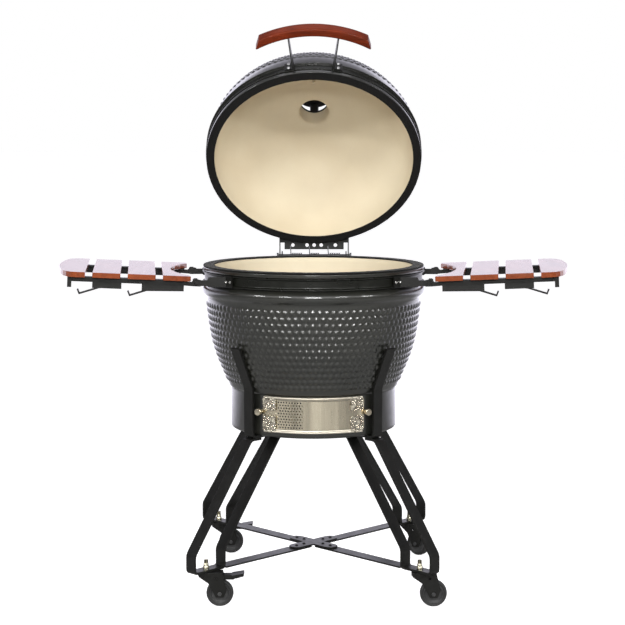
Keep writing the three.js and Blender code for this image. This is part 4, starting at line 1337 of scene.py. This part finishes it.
def make_stage():
    """A white floor, bright enough of itself to meet the white backdrop without an edge."""
    mesh = bpy.data.meshes.new("floor")
    corners = [(x * FLOOR_REACH, y * FLOOR_REACH, 0) for x, y in ((-1, -1), (1, -1), (1, 1), (-1, 1))]
    mesh.from_pydata(corners, [], [(0, 1, 2, 3)])
    floor = bpy.data.objects.new("floor", mesh)
    bpy.context.scene.collection.objects.link(floor)
    finish = Finish("pale_floor", Emission_Color=(1, 1, 1, 1), Specular_IOR_Level=0.0)
    seen = add_node(finish.tree, "LightPath").outputs["Is Camera Ray"]
    where = add_node(finish.tree, "NewGeometry").outputs["Position"]
    spot = add_node(finish.tree, "SeparateXYZ", Vector=where)
    edges = (FLOOR_BACK_GLOW_FROM, FLOOR_BACK_GLOW_TO)
    behind = finish.span(spot.outputs["Y"], 0, FLOOR_BACK_GLOW, *edges)
    glow = finish.span(seen, 0, FLOOR_GLOW, 0, 1)
    put(finish.tree, glow.node.inputs["To Min"], behind)
    put(finish.tree, finish.surface["Emission Strength"], glow)
    put(finish.tree, finish.surface["Emission Color"], finish.mixed(seen, ROOM_COOL, WHITE))
    shade = finish.toned(finish.noise(1.5, 2), (0.84, 0.84, 0.84), (0.82, 0.82, 0.82))
    mesh.materials.append(finish.done(finish.mixed(seen, FLOOR_BOUNCE, shade), 0.9))


def make_world():
    """White to the eye; round the grill a dim room in front and white paper beside and behind."""
    world = bpy.data.worlds.new("studio")
    bpy.context.scene.world = world
    world.use_nodes = True
    tree = world.node_tree
    tree.nodes.clear()
    toward = add_node(tree, "TexCoord").outputs["Generated"]
    split = add_node(tree, "SeparateXYZ", Vector=toward)
    ramp = add_node(tree, "ValToRGB", Fac=map_range(tree, split.outputs["Y"], 0, 1, -1, 1))
    stops = ramp.color_ramp.elements
    for position, level in ROOM_LEVELS:
        tints = ROOM_WARM if position < WARM_UNTIL else ROOM_COOL
        stop = stops[0] if position == 0 else stops.new(position)
        stop.color = (*(level * tint for tint in tints), 1)
    stops.remove(stops[-1])
    dimmed = map_range(tree, split.outputs["Z"], 1, CEILING_LEVEL, CEILING_FROM, CEILING_TO)
    room = add_node(tree, "Background", Color=ramp.outputs["Color"], Strength=dimmed)
    plain = add_node(tree, "Background", Color=(*WHITE, 1))
    mix = add_node(tree, "MixShader", Fac=add_node(tree, "LightPath").outputs["Is Camera Ray"])
    put(tree, mix.inputs[1], room.outputs[0])
    put(tree, mix.inputs[2], plain.outputs[0])
    add_node(tree, "OutputWorld", Surface=mix.outputs[0])


def area_light(name, place, target, size, power, colour=(1, 1, 1)):
    light = bpy.data.lights.new(name, "AREA")
    light.shape = "RECTANGLE"
    light.size, light.size_y = size
    light.energy = power
    light.color = colour
    lamp = bpy.data.objects.new(name, light)
    lamp.location = place
    lamp.rotation_mode = "QUATERNION"
    lamp.rotation_quaternion = (Vector(target) - Vector(place)).to_track_quat("-Z", "Y")
    bpy.context.scene.collection.objects.link(lamp)


def make_lights():
    for name, place, size, power in STRIPS:
        area_light(name, place, STRIP_TARGET, size, power)
    area_light("top_softbox", (0, 0.3, 3.6), (0, 0, 0.8), (2.2, 1.6), 10, (0.95, 0.94, 1.0))


def make_camera():
    """Eye level is above the rim, and the lens is long, as in a catalogue picture."""
    camera = bpy.data.cameras.new("camera")
    camera.sensor_width = SENSOR_WIDTH
    camera.lens = SENSOR_WIDTH * LENS_SHARE
    camera.clip_end = 100
    eye = bpy.data.objects.new("camera", camera)
    reach = Vector((EYE["shift"], -EYE["distance"], EYE["height"]))
    eye.location = AXIS + Matrix.Rotation(EYE["turn"], 3, "Z") @ reach
    eye.rotation_euler = (math.pi / 2 - EYE["down"], 0, EYE["turn"])
    bpy.context.scene.collection.objects.link(eye)
    bpy.context.scene.camera = eye


bowl_shell()
lid_shell()
gasket("base_gasket_felt", ON_BOWL, "base_gasket", BASE_MOUTH, RIM_Z - GASKET_THICKNESS)
gasket("lid_gasket_felt", ON_LID, "lid_gasket", LID_MOUTH, LID_Z)
band("base_band_hoop", ON_BOWL, "base_band", BAND_LOW)
band("lid_band_hoop", ON_LID, "lid_band", LID_Z + 16)
fire_inserts()
wire_grate()
draft_frame()
end_plates()
draft_panels()
finish_cad_nodes()
handle_grip()
handle_screws()
hinge_springs()
vent_pieces()
thermometer()
caster_wheels()
stem_nuts()
axle_bolts()
bracket_screws()
pivot_bolts()
hub_bolts()
make_stage()
make_world()
make_lights()
make_camera()
bpy.context.scene.view_settings.view_transform = "Standard"
